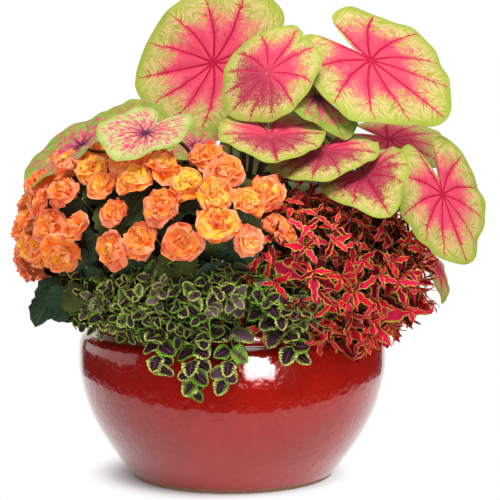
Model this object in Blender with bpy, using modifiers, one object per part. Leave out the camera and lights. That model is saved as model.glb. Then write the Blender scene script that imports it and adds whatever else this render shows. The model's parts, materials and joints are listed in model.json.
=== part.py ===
"""A glazed bowl pot planted with caladium, begonia and two kinds of coleus.

Metres, +Z up. The origin is the centre of the pot's flat base, on the pot's axis.
-Y is the front of the planting and +X its right-hand side.
"""

import math
from collections import namedtuple

import bmesh
import bpy
import numpy as np
from mathutils import Matrix, Vector

# ---- driving dimensions ----------------------------------------------------------------------
GAP = 0.0004  # clearance between pieces that touch
POT_HEIGHT = 0.235
BELLY_RADIUS = 0.231
BELLY_HEIGHT = 0.178
FOOT_RADIUS = 0.152
NECK_RADIUS = 0.2085
NECK_HEIGHT = 0.2145
LIP_RADIUS = 0.2125
WALL = 0.011
BASE_THICKNESS = 0.013
POT_STEPS = 36
POT_WALL_STEPS = 2

DRAIN_HOLES = 3
DRAIN_RADIUS = 0.009
DRAIN_CIRCLE = 0.075

SOIL_HEIGHT = 0.207  # where the soil meets the wall
SOIL_CROWN = 0.006  # how far its middle rises above that

BLADE_THICKNESS = 0.0016
HALF_WIDTH = 0.70  # of the blade outline before a leaf's own width is applied
EDGE_DROOP = 0.6  # how much less the edges droop than the tip
BLADE_SPOKES = 16
BLADE_RINGS = (0.0, 0.55, 1.0)
STALK_RADIUS = 0.0024
STALK_POINTS = 7
STALK_LIFT = 0.001  # its foot clears the soil by this
STALK_ARRIVAL = (-0.28, 0.0, -0.68)  # last bend of the stalk in the leaf's axes, in leaf lengths
CROWN_RADII = (0.018, 0.034, 0.050)  # the stalks leave the soil on three rings

END_BLUNTNESS = 0.35  # 0 gives a foliage mound pointed ends
LUMPS = ((0.05, 7), (0.04, 5))  # height, as a share of the mound, and pitch of its lumps
SEAT_GAP = 1.5 * GAP  # clearance that one plant's cutter leaves round another
FLOWER_THICKNESS = 0.62  # over its width
FLOWER_FOLDS = 5
FLOWER_FOLD_DEPTH = 0.07  # as a share of its radius
STRAND_RADIUS = 0.013
STRAND_TAPER = 0.45  # share of its radius that a strand loses towards its tip
STRAND_POINTS = 8

Leaf = namedtuple("Leaf", "at heading pitch roll length width lobe notch droop fold rise")
Mound = namedtuple("Mound", "start end radius height reach rise climb")
Flower = namedtuple("Flower", "at size")
Strand = namedtuple("Strand", "top hang end")

# Caladium leaves. at: where the stalk meets the blade. heading, pitch and roll, in degrees: the
# way the tip points in plan, how far it points up, and how far the upper face is turned about the
# midrib. length: stalk to tip. width: half width over length. lobe: stretch of the back lobes.
# notch: how wide the slit between them opens. droop: how far tip and edges bend down. fold: how
# far the halves rise from the midrib. rise: how high above the soil the stalk still climbs before
# it bends to its leaf.
CALADIUM = (
    Leaf((-0.030, 0.120, 0.620), 155, -10, -70, 0.145, 0.85, 1.45, 0.20, 0.00, 0.10, 0.12),
    Leaf((0.050, -0.075, 0.600), 180, -45, -55, 0.085, 0.85, 1.50, 0.10, 0.10, -0.05, 0.22),
    Leaf((0.205, -0.030, 0.620), -20, -35, 35, 0.145, 0.80, 1.10, 0.20, 0.05, -0.05, 0.60),
    Leaf((0.125, -0.060, 0.565), -50, -40, 5, 0.085, 0.70, 1.20, 0.20, 0.10, 0.05, 0.50),
    Leaf((0.055, -0.120, 0.510), -85, -20, 0, 0.095, 0.80, 1.75, 0.20, 0.05, 0.10, 0.66),
    Leaf((0.130, -0.120, 0.490), -105, -20, 5, 0.100, 0.80, 1.15, 0.20, 0.10, -0.05, 0.40),
    Leaf((0.250, 0.155, 0.500), -35, -15, 20, 0.110, 0.75, 1.25, 0.20, 0.15, 0.05, 0.18),
    Leaf((0.185, -0.155, 0.455), -80, -15, 25, 0.115, 0.55, 1.50, 0.20, 0.25, 0.25, 0.40),
    Leaf((0.305, -0.090, 0.425), -15, -70, 30, 0.110, 0.85, 1.25, 0.20, 0.00, -0.05, 0.34),
    Leaf((0.315, 0.085, 0.310), -60, -50, -30, 0.070, 0.50, 1.05, 0.20, 0.25, 0.05, 0.66),
    Leaf((-0.220, -0.065, 0.495), -160, -35, -5, 0.110, 0.80, 1.20, 0.20, 0.05, 0.15, 0.40),
    Leaf((-0.120, -0.185, 0.515), -120, -25, -10, 0.080, 0.80, 1.40, 0.20, 0.05, 0.15, 0.40),
    Leaf((-0.150, 0.055, 0.530), 155, 10, -40, 0.065, 0.75, 1.20, 0.20, 0.10, 0.05, 0.42),
    Leaf((-0.055, -0.030, 0.495), -170, -5, -30, 0.060, 0.75, 1.30, 0.20, 0.05, 0.10, 0.12),
    Leaf((-0.110, 0.010, 0.485), -165, 10, -20, 0.055, 0.70, 1.20, 0.20, 0.10, 0.05, 0.38),
    Leaf((-0.120, 0.200, 0.460), 120, -40, 0, 0.100, 0.80, 1.25, 0.20, 0.15, 0.05, 0.20),
    Leaf((0.065, 0.215, 0.480), 80, -40, 0, 0.110, 0.80, 1.25, 0.20, 0.15, 0.05, 0.24),
    Leaf((0.165, 0.220, 0.410), 60, -40, 0, 0.100, 0.80, 1.25, 0.20, 0.15, 0.05, 0.24),
    Leaf((-0.225, 0.165, 0.475), 150, -45, 0, 0.085, 0.80, 1.25, 0.20, 0.15, 0.05, 0.28),
    Leaf((-0.010, 0.240, 0.590), 100, -25, 0, 0.120, 0.80, 1.25, 0.20, 0.15, 0.05, 0.24),
    Leaf((0.100, 0.215, 0.530), 65, -30, 0, 0.115, 0.80, 1.25, 0.20, 0.15, 0.05, 0.56),
    Leaf((0.215, 0.250, 0.405), 35, -40, 5, 0.085, 0.80, 1.25, 0.20, 0.15, 0.05, 0.48),
)

# Foliage mounds, crescents that lie round the pot. start and end: their ends, in degrees round
# the axis. radius and height: the crescent's middle. reach and rise: half its thickness outward
# and half its height. climb: how much higher the end is than the middle.
BEGONIA_MOUND = Mound(108, 288, 0.190, 0.360, 0.124, 0.126, 0.022)
PURPLE_MOUND = Mound(-170, -56, 0.232, 0.278, 0.052, 0.068, -0.004)
RED_MOUND = Mound(-90, 36, 0.188, 0.322, 0.107, 0.116, 0.0)
BACK_MOUND = Mound(36, 110, 0.190, 0.305, 0.096, 0.086, 0.0)

BEGONIA_FLOWERS = (
    Flower((-0.100, -0.190, 0.475), 0.044),
    Flower((-0.035, -0.185, 0.485), 0.046),
    Flower((-0.010, -0.230, 0.465), 0.046),
    Flower((-0.060, -0.255, 0.450), 0.044),
    Flower((0.045, -0.215, 0.435), 0.050),
    Flower((-0.020, -0.290, 0.400), 0.052),
    Flower((-0.095, -0.275, 0.420), 0.050),
    Flower((-0.125, -0.270, 0.375), 0.050),
    Flower((-0.160, -0.250, 0.410), 0.040),
    Flower((-0.180, -0.215, 0.445), 0.044),
    Flower((-0.215, -0.230, 0.390), 0.046),
    Flower((-0.235, -0.185, 0.435), 0.050),
    Flower((-0.270, -0.155, 0.355), 0.050),
    Flower((-0.300, -0.045, 0.380), 0.046),
)

# Trailing shoots: where each starts inside its mound, where it bends over the rim, and its tip.
PURPLE_STRANDS = (
    Strand((-0.090, -0.215, 0.260), (-0.100, -0.250, 0.225), (-0.098, -0.246, 0.190)),
    Strand((-0.050, -0.225, 0.260), (-0.052, -0.256, 0.215), (-0.053, -0.246, 0.166)),
    Strand((0.000, -0.228, 0.260), (-0.004, -0.258, 0.215), (-0.014, -0.247, 0.178)),
    Strand((0.062, -0.225, 0.260), (0.076, -0.246, 0.235), (0.092, -0.240, 0.212)),
)
RED_STRANDS = (
    Strand((0.165, -0.165, 0.290), (0.186, -0.188, 0.250), (0.184, -0.192, 0.212)),
    Strand((0.200, -0.130, 0.290), (0.220, -0.150, 0.262), (0.224, -0.158, 0.232)),
    Strand((0.235, -0.060, 0.300), (0.272, -0.074, 0.286), (0.292, -0.082, 0.262)),
)

# ---- helpers -----------------------------------------------------------------------------------


def clear_scene():
    for obj in list(bpy.data.objects):
        bpy.data.objects.remove(obj, do_unlink=True)


def new_collection(name):
    collection = bpy.data.collections.new(name)
    bpy.context.scene.collection.children.link(collection)
    return collection


def new_material(name, color, roughness, coat=0.0):
    material = bpy.data.materials.new(name)
    material.use_nodes = True
    shader = material.node_tree.nodes["Principled BSDF"]
    shader.inputs["Base Color"].default_value = (*color, 1.0)
    shader.inputs["Roughness"].default_value = roughness
    shader.inputs["Metallic"].default_value = 0.0
    shader.inputs["Coat Weight"].default_value = coat
    return material


def add_object(name, mesh, collection, material=None):
    obj = bpy.data.objects.new(name, mesh)
    collection.objects.link(obj)
    if material:
        mesh.materials.append(material)
    mesh.shade_smooth()
    return obj


def add_cutter(name, mesh):
    obj = add_object(name, mesh, CUTTERS)
    obj.hide_render = True
    obj.display_type = "WIRE"
    return obj


def cut(obj, cutter, operation="DIFFERENCE"):
    modifier = obj.modifiers.new(cutter.name, "BOOLEAN")
    modifier.operation = operation
    modifier.object = cutter
    return modifier


def mesh_from_bmesh(name, shape):
    """The shape as a mesh, its faces turned outward if it is closed."""
    bmesh.ops.recalc_face_normals(shape, faces=shape.faces)
    if all(edge.is_manifold for edge in shape.edges) and shape.calc_volume(signed=True) < 0:
        bmesh.ops.reverse_faces(shape, faces=shape.faces)
    mesh = bpy.data.meshes.new(name)
    shape.to_mesh(mesh)
    shape.free()
    return mesh


def smooth_through(points, steps):
    """Catmull-Rom curve through the points, with that many steps between two of them."""
    points = np.array(points, float)
    padded = np.vstack([2 * points[0] - points[1], points, 2 * points[-1] - points[-2]])
    share = np.linspace(0, 1, steps, endpoint=False)[:, None]
    pieces = []
    for before, start, end, after in zip(padded, padded[1:], padded[2:], padded[3:]):
        pieces.append(
            0.5
            * (
                2 * start
                + (end - before) * share
                + (2 * before - 5 * start + 4 * end - after) * share**2
                + (3 * start - before - 3 * end + after) * share**3
            )
        )
    return np.vstack([*pieces, points[-1:]])


def offset_profile(profile, distance):
    """The profile moved sideways: towards the axis where it runs down, away from it where it runs up."""
    run = np.gradient(profile, axis=0)
    sideways = np.stack([run[:, 1], -run[:, 0]], axis=1)
    return profile + distance * sideways / np.linalg.norm(sideways, axis=1, keepdims=True)


def turned(name, profile, collection, material=None):
    """A solid turned about Z from (radius, height) points that run down its outer side."""
    mesh = bpy.data.meshes.new(name)
    points = [(radius, 0.0, height) for radius, height in profile]
    mesh.from_pydata(points, [(i, i + 1) for i in range(len(points) - 1)], [])
    obj = add_object(name, mesh, collection, material)
    screw = obj.modifiers.new("turn", "SCREW")
    screw.steps = screw.render_steps = POT_STEPS
    screw.use_merge_vertices = True
    screw.merge_threshold = 0.0001
    return obj


def tube(name, points, radii, sides_setting):
    """A round tube along the points as a closed mesh, its caps welded on."""
    curve = bpy.data.curves.new(name, "CURVE")
    curve.dimensions = "3D"
    curve.bevel_depth = 1.0
    curve.bevel_resolution = sides_setting
    curve.use_fill_caps = True
    spline = curve.splines.new("POLY")
    spline.points.add(len(points) - 1)
    for target, point, radius in zip(spline.points, points, radii):
        target.co = (*point, 1.0)
        target.radius = radius
    guide = bpy.data.objects.new(name + "_guide", curve)
    CUTTERS.objects.link(guide)
    mesh = bpy.data.meshes.new_from_object(guide.evaluated_get(bpy.context.evaluated_depsgraph_get()))
    bpy.data.objects.remove(guide)
    shape = bmesh.new()
    shape.from_mesh(mesh)
    bpy.data.meshes.remove(mesh)
    bmesh.ops.remove_doubles(shape, verts=shape.verts, dist=1e-5)
    return mesh_from_bmesh(name, shape)


# ---- pot and soil ------------------------------------------------------------------------------


def pot_outer():
    """Outer wall from the lip's groove down to the foot."""
    return smooth_through(
        (
            (NECK_RADIUS, NECK_HEIGHT),
            (NECK_RADIUS + 0.014, NECK_HEIGHT - 0.005),
            (BELLY_RADIUS - 0.001, BELLY_HEIGHT + 0.018),
            (BELLY_RADIUS - 0.0015, BELLY_HEIGHT - 0.028),
            (BELLY_RADIUS - 0.0145, 0.105),
            (BELLY_RADIUS - 0.037, 0.060),
            (FOOT_RADIUS + 0.0165, 0.0225),
            (FOOT_RADIUS, 0.003),
        ),
        POT_WALL_STEPS,
    )


def pot_lip():
    """Rolled lip from its inner edge over the top and down to the groove."""
    return np.array(
        (
            (LIP_RADIUS - 0.0155, POT_HEIGHT - 0.008),
            (LIP_RADIUS - 0.0125, POT_HEIGHT - 0.002),
            (LIP_RADIUS - 0.007, POT_HEIGHT),
            (LIP_RADIUS - 0.002, POT_HEIGHT - 0.002),
            (LIP_RADIUS, POT_HEIGHT - 0.0075),
            (LIP_RADIUS - 0.001, POT_HEIGHT - 0.014),
        )
    )


def pot_inner():
    """Inner wall from the floor's edge up to the lip, the outer wall moved in by its thickness."""
    wall = offset_profile(pot_outer(), WALL)[::-1]
    wall = wall[(wall[:, 1] > BASE_THICKNESS + 0.004) & (wall[:, 1] < NECK_HEIGHT - 0.004)]
    floor_edge = (wall[0, 0] - 0.004, BASE_THICKNESS)
    return np.vstack([floor_edge, wall, pot_lip()[:1]])


def soil_top():
    """The soil's domed surface from the axis out to the wall."""
    edge = np.interp(SOIL_HEIGHT, pot_inner()[:, 1], pot_inner()[:, 0]) - GAP
    radius = np.linspace(0, edge, 5)
    return np.stack([radius, SOIL_HEIGHT + SOIL_CROWN * (1 - (radius / edge) ** 2)], axis=1)


def soil_height(x, y):
    profile = soil_top()
    return float(np.interp(math.hypot(x, y), profile[:, 0], profile[:, 1]))


def make_pot():
    foot = ((FOOT_RADIUS - 0.003, 0.0), (0.0, 0.0))
    profile = np.vstack([(0.0, BASE_THICKNESS), pot_inner(), pot_lip()[1:], pot_outer(), foot])
    pot = turned("pot", profile, PARTS, MATERIALS["glaze"])
    for index in range(DRAIN_HOLES):
        angle = math.radians(90 + 360 * index / DRAIN_HOLES)
        shape = bmesh.new()
        bmesh.ops.create_cone(
            shape,
            cap_ends=True,
            segments=16,
            radius1=DRAIN_RADIUS,
            radius2=DRAIN_RADIUS,
            depth=3 * BASE_THICKNESS,
        )
        drill = add_cutter(f"drain_drill_{index + 1}", mesh_from_bmesh("drain_drill", shape))
        drill.location = (DRAIN_CIRCLE * math.cos(angle), DRAIN_CIRCLE * math.sin(angle), 0.0)
        cut(pot, drill)


def make_soil():
    wall = pot_inner()[::-1]
    wall = offset_profile(wall[wall[:, 1] < SOIL_HEIGHT], GAP)
    wall[-1] = (wall[-1, 0] - GAP, BASE_THICKNESS + GAP)
    profile = np.vstack([soil_top(), wall, (0.0, BASE_THICKNESS + GAP)])
    turned("potting_soil", profile, PARTS, MATERIALS["soil"])


def make_pot_envelope():
    """A plain cutter that clears the pot and soil, so foliage can drape over them."""
    soil = SOIL_HEIGHT + SOIL_CROWN + GAP
    inside = LIP_RADIUS - 0.018
    lip_top = POT_HEIGHT + GAP
    neck = NECK_RADIUS + 0.006
    neck_top = NECK_HEIGHT + 0.006
    belly = BELLY_RADIUS + 0.002
    shoulder = BELLY_HEIGHT + 0.024
    underside = BELLY_HEIGHT - 0.050
    profile = np.array(
        (
            (0.0, soil),
            (inside, soil),
            (inside, lip_top),
            (neck, lip_top),
            (neck, neck_top),
            (belly, shoulder),
            (belly, underside),
            (0.0, underside),
        )
    )
    return turned("pot_envelope", profile, CUTTERS)


# ---- caladium ----------------------------------------------------------------------------------


def blade_outline(angle, notch):
    """Distance from stalk to edge for a leaf one unit long: a wide egg with a blunt tip (angle 0)
    and a slit between two round lobes at the back. Each term but the egg is a smooth bump."""
    away = math.pi - np.abs(angle)
    egg = HALF_WIDTH + 0.10 * np.cos(angle)
    tip = 0.16 * np.exp(-((angle / 0.42) ** 2))
    slit = 0.42 * np.exp(-((away / notch) ** 2))
    lobes = 0.08 * np.exp(-(((away - 0.64) / 0.45) ** 2))
    return egg + tip - slit + lobes


def blade_point(leaf, share, angle):
    """A point of the blade's middle surface, in the leaf's own axes."""
    reach = share * blade_outline(angle, leaf.notch)
    along = reach * math.cos(angle) * (leaf.lobe if math.cos(angle) < 0 else 1.0)
    across = reach * math.sin(angle) * leaf.width / HALF_WIDTH
    bend = -leaf.droop * (along**2 + EDGE_DROOP * across**2) + leaf.fold * abs(across)
    return Vector((along, across, bend)) * leaf.length


def leaf_frame(leaf):
    """The leaf's axes in the world: tip along X, upper face along Z, stalk end at the origin."""
    heading, pitch = math.radians(leaf.heading), math.radians(leaf.pitch)
    tip = Vector(
        (math.cos(pitch) * math.cos(heading), math.cos(pitch) * math.sin(heading), math.sin(pitch))
    )
    face = (Vector((0, 0, 1)) - tip * tip.z).normalized()
    face.rotate(Matrix.Rotation(math.radians(leaf.roll), 3, tip))
    side = face.cross(tip)
    return Matrix.Translation(leaf.at) @ Matrix((tip, side, face)).transposed().to_4x4()


def stalk_points(index, leaf):
    """A cubic Bezier curve: straight up out of the soil, then over to the blade's underside."""
    radius = CROWN_RADII[index % len(CROWN_RADII)]
    bearing = math.atan2(leaf.at[1], leaf.at[0])
    foot = Vector((radius * math.cos(bearing), radius * math.sin(bearing), 0.0))
    foot.z = soil_height(foot.x, foot.y) + STALK_LIFT
    frame = leaf_frame(leaf)
    end = frame @ Vector((0, 0, BLADE_THICKNESS / 8))
    lift = foot + Vector((0.0, 0.0, leaf.rise))
    arrive = frame @ (Vector(STALK_ARRIVAL) * leaf.length)
    points = []
    for share in np.linspace(0, 1, STALK_POINTS):
        left = 1 - share
        points.append(
            left**3 * foot
            + 3 * left**2 * share * lift
            + 3 * left * share**2 * arrive
            + share**3 * end
        )
    return points


def make_leaf(index, leaf):
    name = f"caladium_leaf_{index + 1:02d}"
    shape = bmesh.new()
    spoke = [shape.verts.new((share, 0, 0)) for share in BLADE_RINGS]
    edges = [shape.edges.new(pair) for pair in zip(spoke, spoke[1:])]
    bmesh.ops.spin(
        shape,
        geom=spoke + edges,
        cent=(0, 0, 0),
        axis=(0, 0, 1),
        angle=2 * math.pi,
        steps=BLADE_SPOKES,
    )
    bmesh.ops.remove_doubles(shape, verts=shape.verts, dist=1e-5)
    for vertex in shape.verts:
        vertex.co = blade_point(leaf, vertex.co.length, math.atan2(vertex.co.y, vertex.co.x))
    blade = add_object(name, mesh_from_bmesh(name, shape), PARTS, MATERIALS["caladium"])
    blade.matrix_world = leaf_frame(leaf)
    solidify = blade.modifiers.new("thickness", "SOLIDIFY")
    solidify.thickness = BLADE_THICKNESS
    solidify.offset = 0.0
    stalk = tube(name + "_stalk", stalk_points(index, leaf), [STALK_RADIUS] * STALK_POINTS, 1)
    cut(blade, add_cutter(name + "_stalk", stalk), "UNION")


# ---- begonia and coleus --------------------------------------------------------------------------


def mound_mesh(name, mound, grow=0.0):
    """A ball drawn out round the pot into a blunt-ended crescent: the ball's Z runs along the arc."""
    middle = math.radians(mound.start + mound.end) / 2
    half_span = math.radians(mound.end - mound.start) / 2
    shape = bmesh.new()
    bmesh.ops.create_uvsphere(shape, u_segments=16, v_segments=12, radius=1.0)
    for vertex in shape.verts:
        across = vertex.co.z
        ring = math.hypot(vertex.co.x, vertex.co.y)
        blunt = ring**-END_BLUNTNESS if ring > 0.001 else 0.0
        outward, upward = vertex.co.x * blunt, -vertex.co.y * blunt
        angle = middle + half_span * across
        (long_height, long_pitch), (cross_height, cross_pitch) = LUMPS
        lump = 1.0 + long_height * math.sin(long_pitch * angle)
        lump += cross_height * math.sin(cross_pitch * upward + 3 * angle)
        radius = mound.radius + (mound.reach * lump + grow) * outward
        angle += grow / mound.radius * across
        vertex.co = (
            radius * math.cos(angle),
            radius * math.sin(angle),
            mound.height + mound.climb * across + (mound.rise * lump + grow) * upward,
        )
    bmesh.ops.triangulate(shape, faces=shape.faces)
    return mesh_from_bmesh(name, shape)


def make_mound(name, mound, material, envelope, neighbours):
    obj = add_object(name, mound_mesh(name, mound), PARTS, material)
    cut(obj, envelope)
    for neighbour in neighbours:
        cut(obj, neighbour)
    return obj


def flower_mesh(name, flower, grow=0.0):
    """A round double flower: a flattened ball with five shallow folds, facing away from the axis."""
    facing = Vector(flower.at) - Vector((0.0, 0.0, SOIL_HEIGHT))
    turn = facing.to_track_quat("Z", "Y").to_matrix()
    half = flower.size / 2
    shape = bmesh.new()
    bmesh.ops.create_uvsphere(shape, u_segments=8, v_segments=6, radius=1.0)
    for vertex in shape.verts:
        turn_angle = math.atan2(vertex.co.y, vertex.co.x)
        fold = 1.0 + FLOWER_FOLD_DEPTH * math.cos(FLOWER_FOLDS * turn_angle)
        wide = half * fold + grow
        vertex.co = turn @ Vector(
            (vertex.co.x * wide, vertex.co.y * wide, vertex.co.z * (half * FLOWER_THICKNESS + grow))
        )
        vertex.co += Vector(flower.at)
    return mesh_from_bmesh(name, shape)


def make_strand(name, strand, material, envelope, mound_cutter):
    points = smooth_through((strand.top, strand.hang, strand.end), STRAND_POINTS // 2)
    radii = STRAND_RADIUS * (1.0 - STRAND_TAPER * np.linspace(0, 1, len(points)) ** 2)
    obj = add_object(name, tube(name, points, radii, 1), PARTS, material)
    cut(obj, envelope)
    cut(obj, mound_cutter)


def make_plants():
    envelope = make_pot_envelope()
    clear = {}
    for name, mound in (
        ("begonia", BEGONIA_MOUND),
        ("purple", PURPLE_MOUND),
        ("red", RED_MOUND),
    ):
        clear[name] = add_cutter(f"{name}_clearance", mound_mesh(name, mound, SEAT_GAP))
    begonia = make_mound("begonia_foliage", BEGONIA_MOUND, MATERIALS["begonia_leaf"], envelope, ())
    for index, flower in enumerate(BEGONIA_FLOWERS):
        name = f"begonia_flower_{index + 1:02d}"
        add_object(name, flower_mesh(name, flower), PARTS, MATERIALS["begonia_petal"])
        cut(begonia, add_cutter(name + "_seat", flower_mesh(name + "_seat", flower, SEAT_GAP)))
    make_mound(
        "purple_coleus_foliage", PURPLE_MOUND, MATERIALS["purple_coleus"], envelope, [clear["begonia"]]
    )
    make_mound(
        "red_coleus_foliage",
        RED_MOUND,
        MATERIALS["red_coleus"],
        envelope,
        [clear["begonia"], clear["purple"]],
    )
    make_mound(
        "purple_coleus_foliage_back",
        BACK_MOUND,
        MATERIALS["purple_coleus"],
        envelope,
        [clear["begonia"], clear["red"]],
    )
    for index, strand in enumerate(PURPLE_STRANDS):
        make_strand(
            f"purple_coleus_trail_{index + 1}", strand, MATERIALS["purple_coleus"], envelope, clear["purple"]
        )
    for index, strand in enumerate(RED_STRANDS):
        make_strand(
            f"red_coleus_trail_{index + 1}", strand, MATERIALS["red_coleus"], envelope, clear["red"]
        )


clear_scene()
PARTS = new_collection("potted_coleus")
CUTTERS = new_collection("cutters")
CUTTERS.hide_render = True
MATERIALS = {
    "glaze": new_material("oxblood_glaze", (0.38, 0.012, 0.007), 0.08, coat=1.0),
    "soil": new_material("potting_mix", (0.03, 0.02, 0.013), 0.95),
    "caladium": new_material("caladium_leaf", (0.75, 0.16, 0.20), 0.45),
    "begonia_leaf": new_material("begonia_leaf", (0.03, 0.07, 0.03), 0.40),
    "begonia_petal": new_material("begonia_petal", (0.95, 0.28, 0.04), 0.50),
    "purple_coleus": new_material("purple_coleus_leaf", (0.10, 0.06, 0.06), 0.55),
    "red_coleus": new_material("red_coleus_leaf", (0.62, 0.01, 0.04), 0.50),
}
make_pot()
make_soil()
for leaf_index, caladium_leaf in enumerate(CALADIUM):
    make_leaf(leaf_index, caladium_leaf)
make_plants()
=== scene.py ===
"""A glazed bowl planted with caladium, begonia and two kinds of coleus, dressed for display.

Metres, +Z up. The pot's axis is the Z axis, its foot stands on z = 0 and -Y is the front. Each
operator makes one piece or group of like pieces, and the panel lists them in planting order.
"""

import json
import math

import bpy
import numpy as np
from mathutils import Matrix, Vector

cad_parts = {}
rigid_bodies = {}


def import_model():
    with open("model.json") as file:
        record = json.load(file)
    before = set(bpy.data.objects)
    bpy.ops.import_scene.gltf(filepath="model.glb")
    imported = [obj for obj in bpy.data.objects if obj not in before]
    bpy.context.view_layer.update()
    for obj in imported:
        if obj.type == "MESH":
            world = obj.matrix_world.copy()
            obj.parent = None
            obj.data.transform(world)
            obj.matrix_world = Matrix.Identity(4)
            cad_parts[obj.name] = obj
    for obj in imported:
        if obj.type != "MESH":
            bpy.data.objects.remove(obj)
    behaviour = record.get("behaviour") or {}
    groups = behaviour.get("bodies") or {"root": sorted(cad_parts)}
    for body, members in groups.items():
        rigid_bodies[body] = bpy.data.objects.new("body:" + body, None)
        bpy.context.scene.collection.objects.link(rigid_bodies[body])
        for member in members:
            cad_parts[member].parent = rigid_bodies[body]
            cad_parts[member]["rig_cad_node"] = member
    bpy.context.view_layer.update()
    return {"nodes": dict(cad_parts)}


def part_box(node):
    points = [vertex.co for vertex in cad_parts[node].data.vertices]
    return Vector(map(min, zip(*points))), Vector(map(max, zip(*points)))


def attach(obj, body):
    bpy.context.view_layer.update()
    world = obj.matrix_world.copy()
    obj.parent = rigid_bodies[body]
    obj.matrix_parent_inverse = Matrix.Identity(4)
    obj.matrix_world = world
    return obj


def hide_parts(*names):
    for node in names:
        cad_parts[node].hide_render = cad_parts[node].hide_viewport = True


bl_info = {
    "name": "Potted Coleus Planting",
    "version": (1, 0, 0),
    "blender": (4, 5, 0),
    "location": "3D View > Sidebar > Planting",
    "description": "Glazed bowl with caladium, begonia and coleus",
    "category": "Add Mesh",
}

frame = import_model()

# ---- planting plan ------------------------------------------------------------------------------

# Caladium leaves: stalk end (x, y, z), heading, pitch and roll in degrees, length, half width over
# length, stretch of the back lobes, notch, droop, fold, rise of the stalk, pattern of the blade.
# The values repeat those of the CAD. They weren't designed by hand: one program fitted leaves 1 to
# 14, and another moved all of them apart until none overlapped. Only a few were changed after that.
CALADIUM = (
    (-0.030, 0.120, 0.620, 155, -10, -70, 0.145, 0.85, 1.45, 0.20, 0.00, 0.10, 0.12, "flushed"),
    (0.050, -0.075, 0.600, 180, -45, -55, 0.085, 0.85, 1.50, 0.06, 0.10, -0.05, 0.22, "mauve"),
    (0.205, -0.030, 0.620, -20, -35, 35, 0.145, 0.80, 1.10, 0.20, 0.05, -0.05, 0.60, "flushed"),
    (0.125, -0.060, 0.565, -50, -40, 5, 0.085, 0.70, 1.20, 0.20, 0.10, 0.05, 0.50, "blotched"),
    (0.055, -0.120, 0.510, -85, -20, 0, 0.095, 0.80, 1.75, 0.20, 0.05, 0.10, 0.66, "mauve"),
    (0.130, -0.120, 0.490, -105, -20, 5, 0.100, 0.80, 1.15, 0.20, 0.10, -0.05, 0.40, "mauve"),
    (0.250, 0.155, 0.500, -35, -15, 20, 0.110, 0.75, 1.25, 0.20, 0.15, 0.05, 0.18, "flushed"),
    (0.185, -0.155, 0.455, -80, -15, 25, 0.115, 0.55, 1.50, 0.20, 0.25, 0.25, 0.40, "mauve"),
    (0.305, -0.090, 0.425, -15, -70, 30, 0.110, 0.85, 1.25, 0.20, 0.00, -0.05, 0.34, "flushed"),
    (0.315, 0.085, 0.310, -60, -50, -30, 0.070, 0.50, 1.05, 0.20, 0.25, 0.05, 0.66, "flushed"),
    (-0.220, -0.065, 0.495, -160, -35, -5, 0.110, 0.80, 1.20, 0.20, 0.05, 0.15, 0.40, "blotched"),
    (-0.120, -0.185, 0.515, -120, -25, -10, 0.080, 0.80, 1.40, 0.20, 0.05, 0.15, 0.40, "blotched"),
    (-0.150, 0.055, 0.530, 155, 10, -40, 0.065, 0.75, 1.20, 0.20, 0.10, 0.05, 0.42, "blotched"),
    (-0.055, -0.030, 0.495, -170, -5, -30, 0.060, 0.75, 1.30, 0.20, 0.05, 0.10, 0.12, "blotched"),
    (-0.110, 0.010, 0.485, -165, 10, -20, 0.055, 0.70, 1.20, 0.20, 0.10, 0.05, 0.38, "blotched"),
    (-0.120, 0.200, 0.460, 120, -40, 0, 0.100, 0.80, 1.25, 0.20, 0.15, 0.05, 0.20, "blotched"),
    (0.065, 0.215, 0.480, 80, -40, 0, 0.110, 0.80, 1.25, 0.20, 0.15, 0.05, 0.24, "flushed"),
    (0.165, 0.220, 0.410, 60, -40, 0, 0.100, 0.80, 1.25, 0.20, 0.15, 0.05, 0.24, "mauve"),
    (-0.225, 0.165, 0.475, 150, -45, 0, 0.085, 0.80, 1.25, 0.20, 0.15, 0.05, 0.28, "blotched"),
    (-0.010, 0.240, 0.590, 100, -25, 0, 0.120, 0.80, 1.25, 0.20, 0.15, 0.05, 0.24, "flushed"),
    (0.100, 0.215, 0.530, 65, -30, 0, 0.115, 0.80, 1.25, 0.20, 0.15, 0.05, 0.56, "mauve"),
    (0.215, 0.250, 0.405, 35, -40, 5, 0.085, 0.80, 1.25, 0.20, 0.15, 0.05, 0.48, "flushed"),
)
CROWN_RADII = (0.018, 0.034, 0.050)
SOIL_TOP = 0.213

# Foliage mounds: start and end bearing in degrees, radius, height, reach, rise and climb.
BEGONIA_MOUND = (108, 288, 0.190, 0.360, 0.124, 0.126, 0.022)
PURPLE_MOUND = (-170, -56, 0.232, 0.281, 0.052, 0.068, -0.004)
CORE_MOUND = (0, 350, 0.085, 0.350, 0.070, 0.110, 0.0)
RED_MOUND = (-90, 36, 0.188, 0.322, 0.107, 0.116, 0.0)
BACK_MOUND = (36, 110, 0.190, 0.305, 0.096, 0.086, 0.0)

# Begonia flowers fill the gaps between those of the frame. In front: least distance between two of
# them and to a flower of the frame, lowest and highest turn on the mound in degrees, radii.
FRONT_SPACING = 0.043
FRONT_ROOM = 0.041
FRONT_TURNS = (-8, 62)
FRONT_RADII = (0.018, 0.023)
# Where the front begins: bearing in degrees.
FRONT_BEARING = 194

# Begonia leaves that hang out from under the flowers on the left.
LOW_LEAVES = (
    (-0.265, -0.130, 0.285), (-0.245, -0.150, 0.275),
    (-0.225, -0.170, 0.285), (-0.250, -0.105, 0.280),
)

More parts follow.
